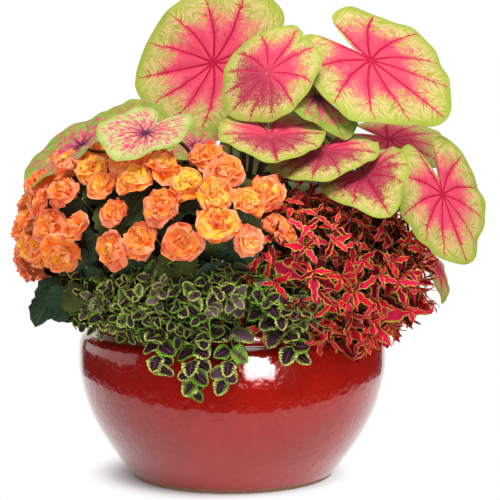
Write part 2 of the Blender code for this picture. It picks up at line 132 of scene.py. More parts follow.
# Shoots beyond the mounds, where the two kinds of coleus grow into each other and up to the leaves.
PURPLE_SHOOTS = (
    (-0.045, -0.200, 0.350), (-0.020, -0.205, 0.362), (0.005, -0.210, 0.350),
    (-0.030, -0.215, 0.335), (0.000, -0.220, 0.330), (-0.060, -0.210, 0.335),
    (0.050, -0.255, 0.300), (0.075, -0.252, 0.290), (0.095, -0.245, 0.275), (0.065, -0.265, 0.275),
)
RED_SHOOTS = (
    (0.020, -0.205, 0.395), (0.040, -0.195, 0.415), (0.012, -0.220, 0.365), (0.035, -0.215, 0.380),
    (0.020, -0.225, 0.340), (0.045, -0.225, 0.355), (0.055, -0.150, 0.440), (0.070, -0.155, 0.450),
    (0.090, -0.145, 0.445), (0.110, -0.145, 0.438), (0.060, -0.175, 0.425), (0.085, -0.180, 0.420),
)

# Spots where the shoots part and the lip of the pot shows, and how much room they leave.
LIP_SHOWS = (((0.015, -0.290, 0.235), 0.054), ((0.060, -0.285, 0.235), 0.052))

# Trailing shoots: where each leaves its mound, where it bends over the rim, and its tip. They
# repeat those of the CAD, whose tips a program worked out.
PURPLE_TRAILS = (
    ((-0.090, -0.215, 0.260), (-0.100, -0.250, 0.225), (-0.098, -0.246, 0.190)),
    ((-0.050, -0.225, 0.260), (-0.052, -0.256, 0.215), (-0.053, -0.246, 0.166)),
    ((0.000, -0.228, 0.260), (-0.004, -0.258, 0.215), (-0.014, -0.247, 0.178)),
    ((0.062, -0.225, 0.260), (0.076, -0.246, 0.235), (0.092, -0.240, 0.212)),
)
RED_TRAILS = (
    ((0.165, -0.165, 0.290), (0.186, -0.188, 0.250), (0.184, -0.192, 0.212)),
    ((0.200, -0.130, 0.290), (0.220, -0.150, 0.262), (0.224, -0.158, 0.232)),
    ((0.235, -0.060, 0.300), (0.272, -0.074, 0.286), (0.292, -0.082, 0.262)),
)


# ---- settings -----------------------------------------------------------------------------------


def colour_property(name, description, default):
    return bpy.props.FloatVectorProperty(
        name=name, description=description, default=default, subtype="COLOR", size=3, min=0.0, max=1.0
    )


def length_property(name, description, default):
    return bpy.props.FloatProperty(
        name=name, description=description, default=default, unit="LENGTH", subtype="DISTANCE", min=0.0
    )


class PotSettings(bpy.types.PropertyGroup):
    glaze: colour_property("Glaze", "Colour of the thick glaze", (0.47, 0.010, 0.004))
    # this colour of pooling glaze is also the painted shade on the pot's left side and under the lip
    pooled_and_shade: colour_property("Pooled glaze", "Colour where the glaze ran thick", (0.17, 0.005, 0.004))
    clay: colour_property("Clay", "Colour of the bare clay of the foot", (0.42, 0.23, 0.13))
    segments: bpy.props.IntProperty(name="Segments", description="Steps round the pot", default=176, min=32)
    soil: colour_property("Potting mix", "Colour of the damp potting mix", (0.030, 0.018, 0.011))


class CaladiumSettings(bpy.types.PropertyGroup):
    margin: colour_property("Margin", "Colour of the lime margin", (0.57, 0.57, 0.090))
    flush: colour_property("Flush", "Pink round the veins", (0.86, 0.075, 0.145))
    vein: colour_property("Veins", "Crimson of the main veins", (0.52, 0.005, 0.050))
    mauve: colour_property("Mauve", "Duskier flush of the shaded leaves", (0.42, 0.035, 0.085))
    thickness: length_property("Blade thickness", "Thickness of a leaf blade", 0.0012)
    stalk: length_property("Stalk radius", "Radius of a leaf stalk", 0.0026)


class BegoniaSettings(bpy.types.PropertyGroup):
    petal: colour_property("Petal", "Orange of the petals", (0.96, 0.27, 0.014))
    throat: colour_property("Throat", "Yellow deep in the flower", (1.00, 0.62, 0.030))
    blush: colour_property("Blush", "Salmon of the petal edges", (1.00, 0.47, 0.270))
    leaf: colour_property("Leaf", "Dark green of the leaves", (0.021, 0.043, 0.022))
    petals: bpy.props.IntProperty(name="Petals", description="Petals of the outer whorl", default=6, min=4)


class ColeusSettings(bpy.types.PropertyGroup):
    purple: colour_property("Purple", "Heart of the small purple leaves", (0.036, 0.008, 0.020))
    lime: colour_property("Lime edge", "Toothed edge of the purple leaves", (0.62, 0.72, 0.150))
    red: colour_property("Red", "Body of the red leaves", (0.95, 0.012, 0.042))
    gold: colour_property("Gold edge", "Thin edge of the red leaves", (0.62, 0.74, 0.070))
    # maroon is the dark heart of some red leaves, and also the painted shade on lower and deeper leaves
    maroon: colour_property("Maroon", "Older red leaves deep in the plant", (0.035, 0.004, 0.007))
    spacing: length_property("Shoot spacing", "Distance between shoot tips", 0.0205)


class StageSettings(bpy.types.PropertyGroup):
    floor: colour_property("Floor", "Colour of the studio floor", (0.90, 0.90, 0.90))
    key: bpy.props.FloatProperty(name="Key light", description="Power of the softbox", default=26.5, min=0.0)
    fill: bpy.props.FloatProperty(name="Fill", description="Level of the room", default=0.64, min=0.0)
    lens: bpy.props.FloatProperty(
        name="Lens", description="Focal length, from a fit", default=115.8, min=1.0, unit="CAMERA"
    )


# ---- shader maths -------------------------------------------------------------------------------


class Value:
    """A number socket of a material, so that shader maths reads as arithmetic."""

    def __init__(self, finish, socket):
        self.finish = finish
        self.socket = socket

    def __add__(self, other):
        return self.finish.math("ADD", self, other)

    def __radd__(self, other):
        return self.finish.math("ADD", other, self)

    def __sub__(self, other):
        return self.finish.math("SUBTRACT", self, other)

    def __rsub__(self, other):
        return self.finish.math("SUBTRACT", other, self)

    def __mul__(self, other):
        return self.finish.math("MULTIPLY", self, other)

    def __rmul__(self, other):
        return self.finish.math("MULTIPLY", other, self)

    def __truediv__(self, other):
        return self.finish.math("DIVIDE", self, other)

    def __rtruediv__(self, other):
        return self.finish.math("DIVIDE", other, self)

    def __pow__(self, other):
        return self.finish.math("POWER", self, other)

    def __neg__(self):
        return self.finish.math("MULTIPLY", self, -1.0)

    def __abs__(self):
        return self.finish.math("ABSOLUTE", self)


class Finish:
    """A node material round one Principled shader."""

    def __init__(self, name, **constants):
        self.material = bpy.data.materials.new(name)
        self.material.use_nodes = True
        self.tree = self.material.node_tree
        self.shader = self.tree.nodes["Principled BSDF"]
        for key, value in constants.items():
            self.shader.inputs[key.replace("_", " ").title().replace("Ior", "IOR")].default_value = value

    def plug(self, socket, value):
        """Links or sets one input socket."""
        if isinstance(value, Value):
            self.tree.links.new(value.socket, socket)
        elif hasattr(value, "__len__") and len(value) == 3 and socket.type == "RGBA":
            socket.default_value = (*value, 1.0)
        else:
            socket.default_value = value

    def node(self, kind, settings=None, sockets=None, out=0):
        """Any node: its type, its settings first, then its sockets' values or links."""
        made = self.tree.nodes.new(kind)
        for key, value in (settings or {}).items():
            if key == "stops":
                ramp = made.color_ramp.elements
                while len(ramp) < len(value):
                    ramp.new(1.0)
                for stop, (place, colour) in zip(ramp, value):
                    stop.position = place
                    stop.color = (*colour, 1.0)
            else:
                setattr(made, key, value)
        for key, value in (sockets or {}).items():
            self.plug(made.inputs[key], value)
        return Value(self, made.outputs[out])

    def math(self, operation, *values):
        sockets = dict(enumerate(values))
        return self.node("ShaderNodeMath", {"operation": operation}, sockets)

    def vector(self, operation, *values, out=0):
        sockets = dict(enumerate(values))
        return self.node("ShaderNodeVectorMath", {"operation": operation}, sockets, out)

    def mix(self, factor, first, second, blend="MIX"):
        """Colour mix of two colours by a factor held between 0 and 1."""
        settings = {"data_type": "RGBA", "blend_type": blend, "clamp_factor": True}
        return self.node("ShaderNodeMix", settings, {0: factor, 6: first, 7: second}, 2)

    def step(self, value, low, high):
        """0 below low, 1 above high and a smooth rise between them."""
        settings = {"interpolation_type": "SMOOTHSTEP"}
        return self.node("ShaderNodeMapRange", settings, {0: value, 1: low, 2: high, 3: 0.0, 4: 1.0})

    def place(self):
        return self.node("ShaderNodeTexCoord", out=3)

    def map(self, name):
        return self.node("ShaderNodeUVMap", {"uv_map": name})

    def parts(self, vector):
        made = self.tree.nodes.new("ShaderNodeSeparateXYZ")
        self.plug(made.inputs[0], vector)
        return [Value(self, socket) for socket in made.outputs]

    def joined(self, x, y, z=0.0):
        return self.node("ShaderNodeCombineXYZ", None, {0: x, 1: y, 2: z})

    def noise(self, vector, scale, detail=2.0, roughness=0.5):
        """Soft noise, mostly between 0.25 and 0.75."""
        sockets = {"Vector": vector, "Scale": scale, "Detail": detail, "Roughness": roughness}
        return self.node("ShaderNodeTexNoise", None, sockets)

    def cells(self, vector, scale, feature="F1", out=0):
        return self.node(
            "ShaderNodeTexVoronoi", {"feature": feature}, {"Vector": vector, "Scale": scale}, out
        )

    def bump(self, height, strength, distance):
        sockets = {"Strength": strength, "Distance": distance, "Height": height}
        self.feed("Normal", self.node("ShaderNodeBump", None, sockets))

    def feed(self, socket, value):
        self.plug(self.shader.inputs[socket], value)


# ---- mesh making --------------------------------------------------------------------------------


def add_piece(name, points, groups, finish, stands_for=(), maps=None, rim=None):
    """A piece from its points and groups of equal-sided faces. maps holds, for each UV map, one
    array of coordinates a point for each group of faces. An edge between two points that rim
    marks stays sharp."""
    mesh = bpy.data.meshes.new(name)
    corners = np.concatenate([group.ravel() for group in groups])
    sizes = np.concatenate([np.full(len(group), group.shape[1]) for group in groups])
    starts = np.concatenate([[0], np.cumsum(sizes)[:-1]])
    mesh.vertices.add(len(points))
    mesh.vertices.foreach_set("co", np.ascontiguousarray(points, np.float32).ravel())
    mesh.loops.add(len(corners))
    mesh.loops.foreach_set("vertex_index", corners.astype(np.int32))
    mesh.polygons.add(len(sizes))
    mesh.polygons.foreach_set("loop_start", starts.astype(np.int32))
    mesh.update(calc_edges=True)
    mesh.shade_smooth()
    if rim is not None:
        ends = np.empty(len(mesh.edges) * 2, np.int32)
        mesh.edges.foreach_get("vertices", ends)
        sharp = mesh.attributes.new("sharp_edge", "BOOLEAN", "EDGE")
        sharp.data.foreach_set("value", rim[ends.reshape(-1, 2)].all(axis=1))
    for map_name, arrays in (maps or {}).items():
        layer = mesh.uv_layers.new(name=map_name)
        values = np.concatenate([array[group.ravel()] for array, group in zip(arrays, groups)])
        layer.uv.foreach_set("vector", np.ascontiguousarray(values, np.float32).ravel())
    mesh.materials.append(finish.material)
    piece = bpy.data.objects.new(name, mesh)
    bpy.context.scene.collection.objects.link(piece)
    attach(piece, "root")
    if stands_for:
        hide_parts(*stands_for)
    return piece


def grid_faces(rows, columns, wrap):
    """Quads of a grid numbered row by row, facing the way that rows turn to columns."""
    row = np.arange(rows - 1)[:, None] * columns
    column = np.arange(columns if wrap else columns - 1)[None, :]
    beside = (column + 1) % columns
    corners = (row + column, row + columns + column, row + columns + beside, row + beside)
    return np.stack(corners, axis=-1).reshape(-1, 4)


def waves(points, scale, seed, octaves=3):
    """Smooth bumps between about -1 and 1: sine waves in seeded directions, summed over octaves
    that each have twice the pitch and half the height."""
    rng = np.random.default_rng(seed)
    total = np.zeros(points.shape[:-1])
    for octave in range(octaves):
        ways = rng.normal(size=(5, 3)) * scale * 2**octave
        phase = rng.uniform(0, 2 * math.pi, 5)
        total += 0.5**octave * np.sin(points @ ways.T + phase).mean(axis=-1)
    return total


def smooth_through(points, steps):
    """Catmull-Rom curve through the points, with that many steps between two of them."""
    points = np.array(points, float)
    padded = np.vstack([2 * points[0] - points[1], points, 2 * points[-1] - points[-2]])
    share = np.linspace(0, 1, steps, endpoint=False)[:, None]
    pieces = []
    for before, start, end, after in zip(padded, padded[1:], padded[2:], padded[3:]):
        pieces.append(
            0.5
            * (
                2 * start
                + (end - before) * share
                + (2 * before - 5 * start + 4 * end - after) * share**2
                + (3 * start - before - 3 * end + after) * share**3
            )
        )
    return np.vstack([*pieces, points[-1:]])


def unit(vectors):
    return vectors / np.linalg.norm(vectors, axis=-1, keepdims=True)


def lathe(profile, segments):
    """Points of a profile of (radius, height) turned about Z, row by row, and its quads: the
    profile runs down the outside, so that its faces point outwards."""
    turn = np.linspace(0, 2 * math.pi, segments, endpoint=False)
    radius, height = profile[:, 0:1], profile[:, 1:2]
    points = np.stack(
        [radius * np.cos(turn), radius * np.sin(turn), height + 0 * turn], axis=-1
    ).reshape(-1, 3)
    return points, grid_faces(len(profile), segments, True)


def tubes(paths, radii, sides):
    """Closed round tubes: each path's points carry rings square to its run, drawn in to a point
    at both ends. paths is (tubes, points, 3) and radii (tubes, points)."""
    paths = np.asarray(paths, float)
    count, steps, _ = paths.shape
    run = unit(np.gradient(paths, axis=1) + 1e-12)
    across = unit(np.cross(run, np.array((0.31, 0.17, 0.94))) + 1e-12)
    other = np.cross(run, across)
    turn = np.linspace(0, 2 * math.pi, sides, endpoint=False)
    ring = (
        across[:, :, None] * np.cos(turn)[:, None] + other[:, :, None] * np.sin(turn)[:, None]
    ) * np.asarray(radii)[..., None, None]
    body = (paths[:, :, None] + ring).reshape(count, -1, 3)
    points = np.concatenate([body, paths[:, :1], paths[:, -1:]], axis=1)
    size = points.shape[1]
    quads = grid_faces(steps, sides, True)[:, ::-1]
    here = np.arange(sides)
    beside = (here + 1) % sides
    first = np.stack([np.full(sides, size - 2), beside, here], axis=1)
    last = np.stack([np.full(sides, size - 1), here, beside], axis=1)
    last[:, 1:] += (steps - 1) * sides
    offsets = (np.arange(count) * size)[:, None, None]
    fans = np.concatenate([first, last])
    along = np.repeat(np.linspace(0, 1, steps), sides)
    along = np.tile(np.concatenate([along, [0.0, 1.0]]), count)
    number = np.repeat(np.arange(count), size) / max(count, 1)
    return (
        points.reshape(-1, 3),
        [(quads + offsets).reshape(-1, 4), (fans + offsets).reshape(-1, 3)],
        np.stack([along, number], axis=1),
    )


class BladeGrid:
    """One closed blade in unit coordinates: u from base 0 to tip 1, v from edge -1 to edge 1, and
    under, 1 on the lower side. Its ends are single points, and both sides share the edge. The
    lower side has that many columns beneath, and tipward over 1 crowds the rows to the tip."""

    def __init__(self, rows, columns, beneath=1, tipward=1.0):
        self.rows = rows
        width = columns + beneath
        inner = 1 - (1 - np.arange(1, rows + 1) / (rows + 1)) ** tipward
        self.u = np.concatenate([[0.0], np.repeat(inner, width), [1.0]])
        row_v = np.concatenate([np.linspace(-1, 1, columns), np.linspace(1, -1, beneath + 2)[1:-1]])
        self.v = np.concatenate([[0.0], np.tile(row_v, rows), [0.0]])
        row_under = np.concatenate([np.zeros(columns), np.ones(beneath)])
        self.under = np.concatenate([[0.0], np.tile(row_under, rows), [0.0]])
        self.row = np.concatenate([[0], np.repeat(np.arange(1, rows + 1), width), [rows + 1]])
        self.edge = np.abs(self.v) > 0.999
        self.size = len(self.u)
        start = 1 + width * np.arange(rows)
        upper = np.arange(columns)
        lower = np.concatenate([np.arange(columns - 1, width), [0]])
        self.groups = []
        for chain in (upper, lower):
            here, beside = chain[:-1], chain[1:]
            low, high = start[:-1, None], start[1:, None]
            quads = np.stack([low + here, high + here, high + beside, low + beside], axis=-1)
            base = np.stack([0 * here, start[0] + here, start[0] + beside], axis=-1)
            last = start[-1]
            tip = np.stack([last + here, 0 * here + self.size - 1, last + beside], axis=-1)
            self.groups += [quads.reshape(-1, 4), np.concatenate([base, tip])]


def add_blades(name, grid, local, origin, along, face, finish, stands_for=(), vary=None):
    """Many like blades as one piece: each blade's local points (along, across, up) are carried to
    its own axes. The bake map gives every blade its own square, upper side left, lower right."""
    count = len(origin)
    along = unit(along)
    side = unit(np.cross(face, along))
    up = np.cross(along, side)
    points = (
        origin[:, None]
        + local[..., 0:1] * along[:, None]
        + local[..., 1:2] * side[:, None]
        + local[..., 2:3] * up[:, None]
    )
    offsets = (np.arange(count) * grid.size)[:, None, None]
    groups = [(group + offsets).reshape(-1, group.shape[1]) for group in grid.groups]
    cells = math.ceil(math.sqrt(count))
    column, row = np.arange(count)[:, None] % cells, np.arange(count)[:, None] // cells
    bakes = []
    for left in (0.04, 0.53):
        across = (column + left + 0.43 * (grid.v * 0.5 + 0.5)) / cells
        upward = (row + 0.04 + 0.92 * grid.u) / cells
        bakes.append(np.stack([across, upward + 0 * across], axis=-1).reshape(-1, 2))
    blade = np.tile(np.stack([grid.u, grid.v * 0.5 + 0.5], axis=1), (count, 1))
    vary = np.zeros((count, 2)) if vary is None else vary
    vary = np.repeat(vary, grid.size, axis=0)
    under = np.zeros((count * grid.size, 2))
    rim = np.tile(grid.edge | (grid.u == 0) | (grid.u == 1), count)
    maps = {
        "OFBake": [bakes[0], bakes[0], bakes[1], bakes[1]],
        "blade": [blade] * 4,
        "vary": [vary] * 4,
        "under": [under, under, under + 1, under + 1],
    }
    return add_piece(name, points.reshape(-1, 3), groups, finish, stands_for, maps, rim)


# ---- pot and soil -------------------------------------------------------------------------------


def pot_profile():
    """The pot's section from the middle of its floor up the inside, over the rolled lip and down
    the outside to the middle of its foot, smoothed between stations. Those of the wall follow the
    CAD's, which a fit made."""
    _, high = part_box("pot")
    belly, top = high.x, high.z + 0.006
    lip = smooth_through(
        (
            (belly - 0.034, top - 0.010),
            (belly - 0.0315, top - 0.0025),
            (belly - 0.0260, top - 0.0002),
            (belly - 0.0207, top - 0.0022),
            (belly - 0.0186, top - 0.0080),
            (belly - 0.0194, top - 0.0140),
            (belly - 0.0222, top - 0.0190),
            (belly - 0.0218, top - 0.0212),
            (belly - 0.0140, top - 0.0232),
            (belly - 0.0055, top - 0.0280),
            (belly - 0.0010, top - 0.0390),
            (belly - 0.0000, top - 0.0570),
            (belly - 0.0015, top - 0.0850),
            (belly - 0.0145, 0.105),
            (belly - 0.0370, 0.060),
            (belly - 0.0625, 0.0225),
            (belly - 0.0760, 0.0060),
            (belly - 0.0785, 0.0045),
            (belly - 0.0790, 0.0012),
            (belly - 0.0805, 0.0),
        ),
        4,
    )
    foot = np.array([(belly - 0.088, 0.0), (belly - 0.094, 0.004), (belly - 0.100, 0.0052), (1e-4, 0.0052)])
    inside = smooth_through(
        (
            (1e-4, 0.013),
            (belly - 0.095, 0.013),
            (belly - 0.056, 0.055),
            (belly - 0.028, 0.105),
            (belly - 0.0125, 0.150),
            (belly - 0.0130, 0.190),
            (belly - 0.030, 0.207),
        ),
        4,
    )
    return np.vstack([inside, lip, foot])


def glaze_finish(settings):
    """Deep red glaze over clay: mottled and streaked where it ran, crackled, and bare along the foot. It is
    darker in the groove under the lip, from glaze pooling there and from painted shade, darker towards the
    foot, and darkened on the left side as painted shade."""
    finish = Finish("oxblood_glaze", coat_weight=1.0, coat_roughness=0.02, ior=1.5, specular_ior_level=0.22)
    place = finish.place()
    x, y, z = finish.parts(place)
    streaks = finish.noise(finish.joined(x * 26.0, y * 26.0, z * 4.0), 1.0, 4.0, 0.6)
    mottle = finish.noise(place, 17.0, 4.0, 0.65)
    fine = finish.noise(place, 170.0, 3.0, 0.6)
    depth = finish.step(0.55 * streaks + 0.45 * mottle, 0.38, 0.62)
    bright = tuple(1.12 * channel for channel in settings.glaze)
    body = finish.mix(depth, settings.pooled_and_shade, bright)
    body = finish.mix(0.60 + 0.35 * finish.step(fine, 0.35, 0.6), body, settings.glaze)
    # darker in the groove under the lip: glaze pooling there, and painted shade under the lip's overhang
    groove = finish.step(abs(z - 0.2205), 0.0045, 0.0005)
    body = finish.mix(groove * 0.85, body, settings.pooled_and_shade)
    lip = finish.step(z, 0.2345, 0.2405)
    body = finish.mix(lip * 0.55 * finish.step(mottle, 0.3, 0.6), body, (0.50, 0.060, 0.025))
    warp = finish.vector("ADD", place, finish.joined(fine * 0.004, mottle * 0.006, fine * 0.004))
    crack = finish.step(finish.cells(warp, 130.0, "DISTANCE_TO_EDGE"), 0.030, 0.0)
    crack = crack * finish.step(finish.noise(place, 9.0, 2.0), 0.42, 0.62)
    body = finish.mix(crack * 0.14, body, (0.06, 0.004, 0.003))
    # painted shade: the glaze is darkened on the pot's left (-x) side, which the light reaches less; it is
    # also darker towards the foot
    thick = 0.22 * finish.step(z, 0.150, 0.030) + 0.60 * finish.step(x + 0.08 * mottle, 0.02, -0.14)
    body = finish.mix(thick, body, settings.pooled_and_shade)
    wander = z + (streaks - 0.5) * 0.006 + (fine - 0.5) * 0.003
    bare = finish.step(wander, 0.0068, 0.0048)
    grit = finish.noise(place, 420.0, 2.0, 0.7)
    clay = finish.mix(finish.step(grit, 0.35, 0.65), tuple(0.55 * c for c in settings.clay), settings.clay)
    finish.feed("Base Color", finish.mix(bare, body, clay))
    finish.feed("Coat Weight", 1.0 - bare)
    finish.feed("Roughness", 0.10 + 0.07 * mottle + 0.60 * bare)
    swell = finish.noise(place, 11.0, 2.0, 0.5)
    ripple = finish.noise(place, 62.0, 2.0, 0.6)
    dimples = finish.noise(place, 125.0, 2.0, 0.6)
    height = 1.1 * swell + 0.28 * streaks + 0.95 * ripple + 0.70 * dimples + 0.10 * fine
    finish.bump(height + 0.05 * bare * grit - 0.02 * crack, 0.35, 0.004)
    return finish


def soil_finish(settings):
    """Damp potting mix: dark fibre, lumps of bark and a few pale grains of perlite."""
    finish = Finish("potting_mix", roughness=0.95)
    place = finish.place()
    lumps = finish.cells(place, 160.0, out=1)
    lump_shade = finish.parts(lumps)[0]
    bark = finish.mix(lump_shade, settings.soil, tuple(2.6 * channel for channel in settings.soil))
    grain = finish.step(finish.parts(finish.cells(place, 210.0, out=1))[1], 0.955, 0.965)
    core = finish.step(finish.cells(place, 210.0), 0.42, 0.30)
    finish.feed("Base Color", finish.mix(grain * core, bark, (0.62, 0.58, 0.50)))
    finish.bump(finish.noise(place, 300.0, 4.0, 0.7), 0.8, 0.002)
    return finish


class PLANTING_OT_pot(bpy.types.Operator):
    """Glazed bowl with a rolled lip, turned in one piece"""

    bl_idname = "planting.pot"
    bl_label = "Glazed Pot"

    def execute(self, context):
        settings = context.scene.planting_pot
        points, quads = lathe(pot_profile(), settings.segments)
        radius = np.hypot(points[:, 0], points[:, 1])
        throw = 0.0004 * waves(points, 22.0, 3, 2) * np.clip(radius / 0.1, 0, 1)
        points[:, :2] *= (1 + throw / np.maximum(radius, 0.01))[:, None]
        add_piece("glazed_pot", points, [quads[:, ::-1]], glaze_finish(settings), ["pot"])
        return {"FINISHED"}


class PLANTING_OT_soil(bpy.types.Operator):
    """Crumbly potting mix up to the rim"""

    bl_idname = "planting.soil"
    bl_label = "Potting Mix"

    def execute(self, context):
        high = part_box("potting_soil")[1]
        edge = 0.197
        radius = np.linspace(edge, 1e-4, 60)
        height = high.z - 0.0005 - 0.006 * (radius / edge) ** 2
        profile = np.vstack([[(edge - 0.004, 0.16)], [(edge, 0.19)], np.stack([radius, height], axis=1)])
        points, quads = lathe(profile, 160)
        rough = waves(points * (1, 1, 0), 150.0, 5, 3) * 0.0022 * (points[:, 2] > 0.2)
        points[:, 2] += rough * (np.hypot(points[:, 0], points[:, 1]) < edge - 0.002)
        finish = soil_finish(context.scene.planting_pot)
        add_piece("soil_surface", points, [quads], finish, ["potting_soil"])
        return {"FINISHED"}


# ---- caladium -----------------------------------------------------------------------------------


def blade_outline(angle, notch):
    """Distance from stalk to edge for a leaf one unit long: a wide egg with a blunt tip (angle 0)
    and a slit between two round lobes at the back. Each term but the egg is a smooth bump."""
    away = math.pi - np.abs(angle)
    egg = 0.70 + 0.10 * np.cos(angle)
    tip = 0.16 * np.exp(-((angle / 0.42) ** 2))
    slit = 2.1 * notch * np.exp(-((away / notch) ** 2))
    lobes = 0.08 * np.exp(-(((away - 0.64) / 0.45) ** 2))
    return egg + tip - slit + lobes


def leaf_axes(heading, pitch, roll):
    """Tip, side and face directions: the tip points along heading and pitch, and the face is the
    upward normal turned about the tip by roll."""
    heading, pitch, roll = math.radians(heading), math.radians(pitch), math.radians(roll)
    tip = Vector(
        (math.cos(pitch) * math.cos(heading), math.cos(pitch) * math.sin(heading), math.sin(pitch))
    )
    face = (Vector((0, 0, 1)) - tip * tip.z).normalized()
    face.rotate(Matrix.Rotation(roll, 3, tip))
    return np.array(tip), np.array(face.cross(tip)), np.array(face)


def vein_angle(angle, share):
    """Fold and warp of the polar angle that straightens the main veins: towards the edge they
    bend to the tip, so the angle grows with sin(angle) times the share of the way out."""
    return np.abs(angle) + 0.34 * share * np.sin(np.abs(angle))


VEIN_PITCH = math.radians(34)


def caladium_surface(leaf, shares, angles, seed):
    """The blade's upper side: the egg-shaped outline scaled by share, bent down by droop and up by
    fold, waved along its edge, and sunk along the main veins."""
    length, width, lobe, notch, droop, fold = leaf[6:12]
    share, angle = np.meshgrid(shares, angles, indexing="ij")
    rng = np.random.default_rng(seed)
    phase = rng.uniform(0, 2 * math.pi, 4)
    edge = 1 + 0.012 * np.sin(5 * angle + phase[0]) + 0.008 * np.sin(11 * angle + phase[1])
    reach = share * blade_outline(angle, notch) * edge
    along = reach * np.cos(angle) * np.where(np.cos(angle) < 0, lobe, 1.0)
    across = reach * np.sin(angle) * width / 0.70
    bend = -droop * (along**2 + 0.6 * across**2) + fold * np.abs(across)
    frill = share**3 * (
        0.022 * np.sin(6 * angle + phase[2]) + 0.012 * np.sin(13 * angle + phase[3])
    )
    sector = vein_angle(angle, share) / VEIN_PITCH
    offset = np.abs(sector - np.round(sector)) * VEIN_PITCH * reach
    swell = 0.020 * (1 - np.exp(-((offset / 0.05) ** 2))) * np.minimum(1, 4 * (1 - share) + 0.3)
    up = bend + frill + swell * np.minimum(1, share * 3)
    return np.stack([along, across, up], axis=-1) * length, share


def vein_field(finish, x, y, share, mood):
    """Veins of a blade, from its own coordinates. The polar angle, folded about the midrib and
    bent towards the tip, is a whole number of pitches on a main vein. Returns the distance along
    the nearest vein, the distance from it, the bent angle, and masks of the main veins, of the
    twigs that leave them at a slant and of the fine rungs between them."""
    flat = finish.joined(x, y, mood * 7.0)
    wobble = finish.noise(flat, 4.0, 3.0, 0.6) - 0.5
    reach = (x * x + y * y) ** 0.5
    angle = finish.math("ARCTAN2", abs(y) + 0.0005, x) + wobble * 0.14
    bent = angle + 0.34 * share * finish.math("SINE", angle)
    ways = abs(finish.math("FRACT", bent / VEIN_PITCH + 0.5) - 0.5)
    gap = ways * VEIN_PITCH * reach
    middle = abs(y) + wobble * 0.006
    gap = finish.math("MINIMUM", gap, middle + finish.step(x, 0.02, -0.02))
    width = 0.0190 - 0.0130 * share
    vein = finish.step(gap / width, 1.15, 0.60) * finish.step(share, 1.0, 0.92)
    run = reach * finish.math("COSINE", ways * VEIN_PITCH)
    broken = finish.step(finish.noise(flat, 11.0, 2.0, 0.5), 0.38, 0.52)
    twig = finish.math("FRACT", run * 8.5 - gap * 6.0 + wobble * 1.6 + mood * 3.0) - 0.5
    twig = finish.step(abs(twig), 0.085, 0.030) * finish.step(gap, 0.15, 0.05) * broken
    twig = twig * finish.step(share, 0.22, 0.45) * finish.step(share, 0.95, 0.80)
    rung = finish.math("FRACT", run * 34.0 + wobble * 6.0 - gap * 9.0) - 0.5
    rung = finish.step(abs(rung), 0.30, 0.05)
    return run, gap, bent, vein, twig, rung


def caladium_finish(name, settings, kind):
    """Leaf pattern in the blade's own coordinates: pink that is full near the stalk and along the
    veins and breaks into slanting specks towards a lime margin, or strips of pink blotches on
    green round a dark star."""
    finish = Finish(name, roughness=0.45, specular_ior_level=0.15)
    x, y, _ = finish.parts(finish.map("blade"))
    share, mood, _ = finish.parts(finish.map("edge"))
    under, _, _ = finish.parts(finish.map("under"))
    run, gap, bent, vein, twig, rung = vein_field(finish, x, y, share, mood)
    flat = finish.joined(x, y, mood * 7.0)
    feather = finish.joined((run - 0.55 * gap) * 44.0, bent * 9.0, mood * 7.0)
    feather = finish.noise(feather, 1.0, 3.0, 0.6)
    specks = finish.parts(finish.cells(flat, 85.0, out=1))[0]
    grain = 0.42 * specks + 1.25 * feather - 0.34
    clouds = finish.noise(flat, 7.0, 4.0, 0.7)
    reach = (x * x + y * y) ** 0.5
    if kind == "blotched":
        colour = blotched_colour(finish, run, bent, share, mood, grain, clouds)
        dark = finish.step(reach, 0.36, 0.05) * finish.step(gap, 0.035, 0.006)
        star = finish.mix(dark, (0.50, 0.07, 0.14), (0.035, 0.020, 0.050))
        colour = finish.mix(vein * 0.60, colour, star)
        colour = finish.mix(dark * 0.85, colour, (0.040, 0.022, 0.055))
    else:
        barbs = finish.joined((run - 0.7 * gap) * 30.0, bent * 6.0, mood * 5.0)
        barbs = finish.noise(barbs, 1.0, 4.0, 0.75)
        colour = flushed_colour(finish, settings, kind, x, gap, share, grain, clouds, barbs)
        colour = finish.mix(twig * 0.80, colour, (0.52, 0.020, 0.085))
        colour = finish.mix(vein * 0.95, colour, settings.vein)
        if kind == "mauve":
            sheen = finish.step(gap, 0.005, 0.001) * finish.step(reach, 0.22, 0.10)
            colour = finish.mix(sheen * 0.45, colour, (0.80, 0.42, 0.48))
    rim = finish.step(share, 0.968, 0.992)
    colour = finish.mix(rim * 0.5, colour, (0.30, 0.42, 0.050))
    back = finish.mix(vein * 0.8, (0.36, 0.46, 0.17), (0.50, 0.16, 0.17))
    back = finish.mix(finish.step(share, 0.75, 0.25) * 0.45, back, (0.62, 0.16, 0.18))
    finish.feed("Base Color", finish.mix(under, colour, back))
    finish.feed("Roughness", 0.38 + 0.14 * clouds + 0.05 * vein)
    height = 0.9 * finish.step(gap, 0.0, 0.03) + 0.30 * rung + 0.30 * finish.noise(flat, 60.0, 2.0)
    finish.bump(height, 0.45, 0.0012)
    return finish


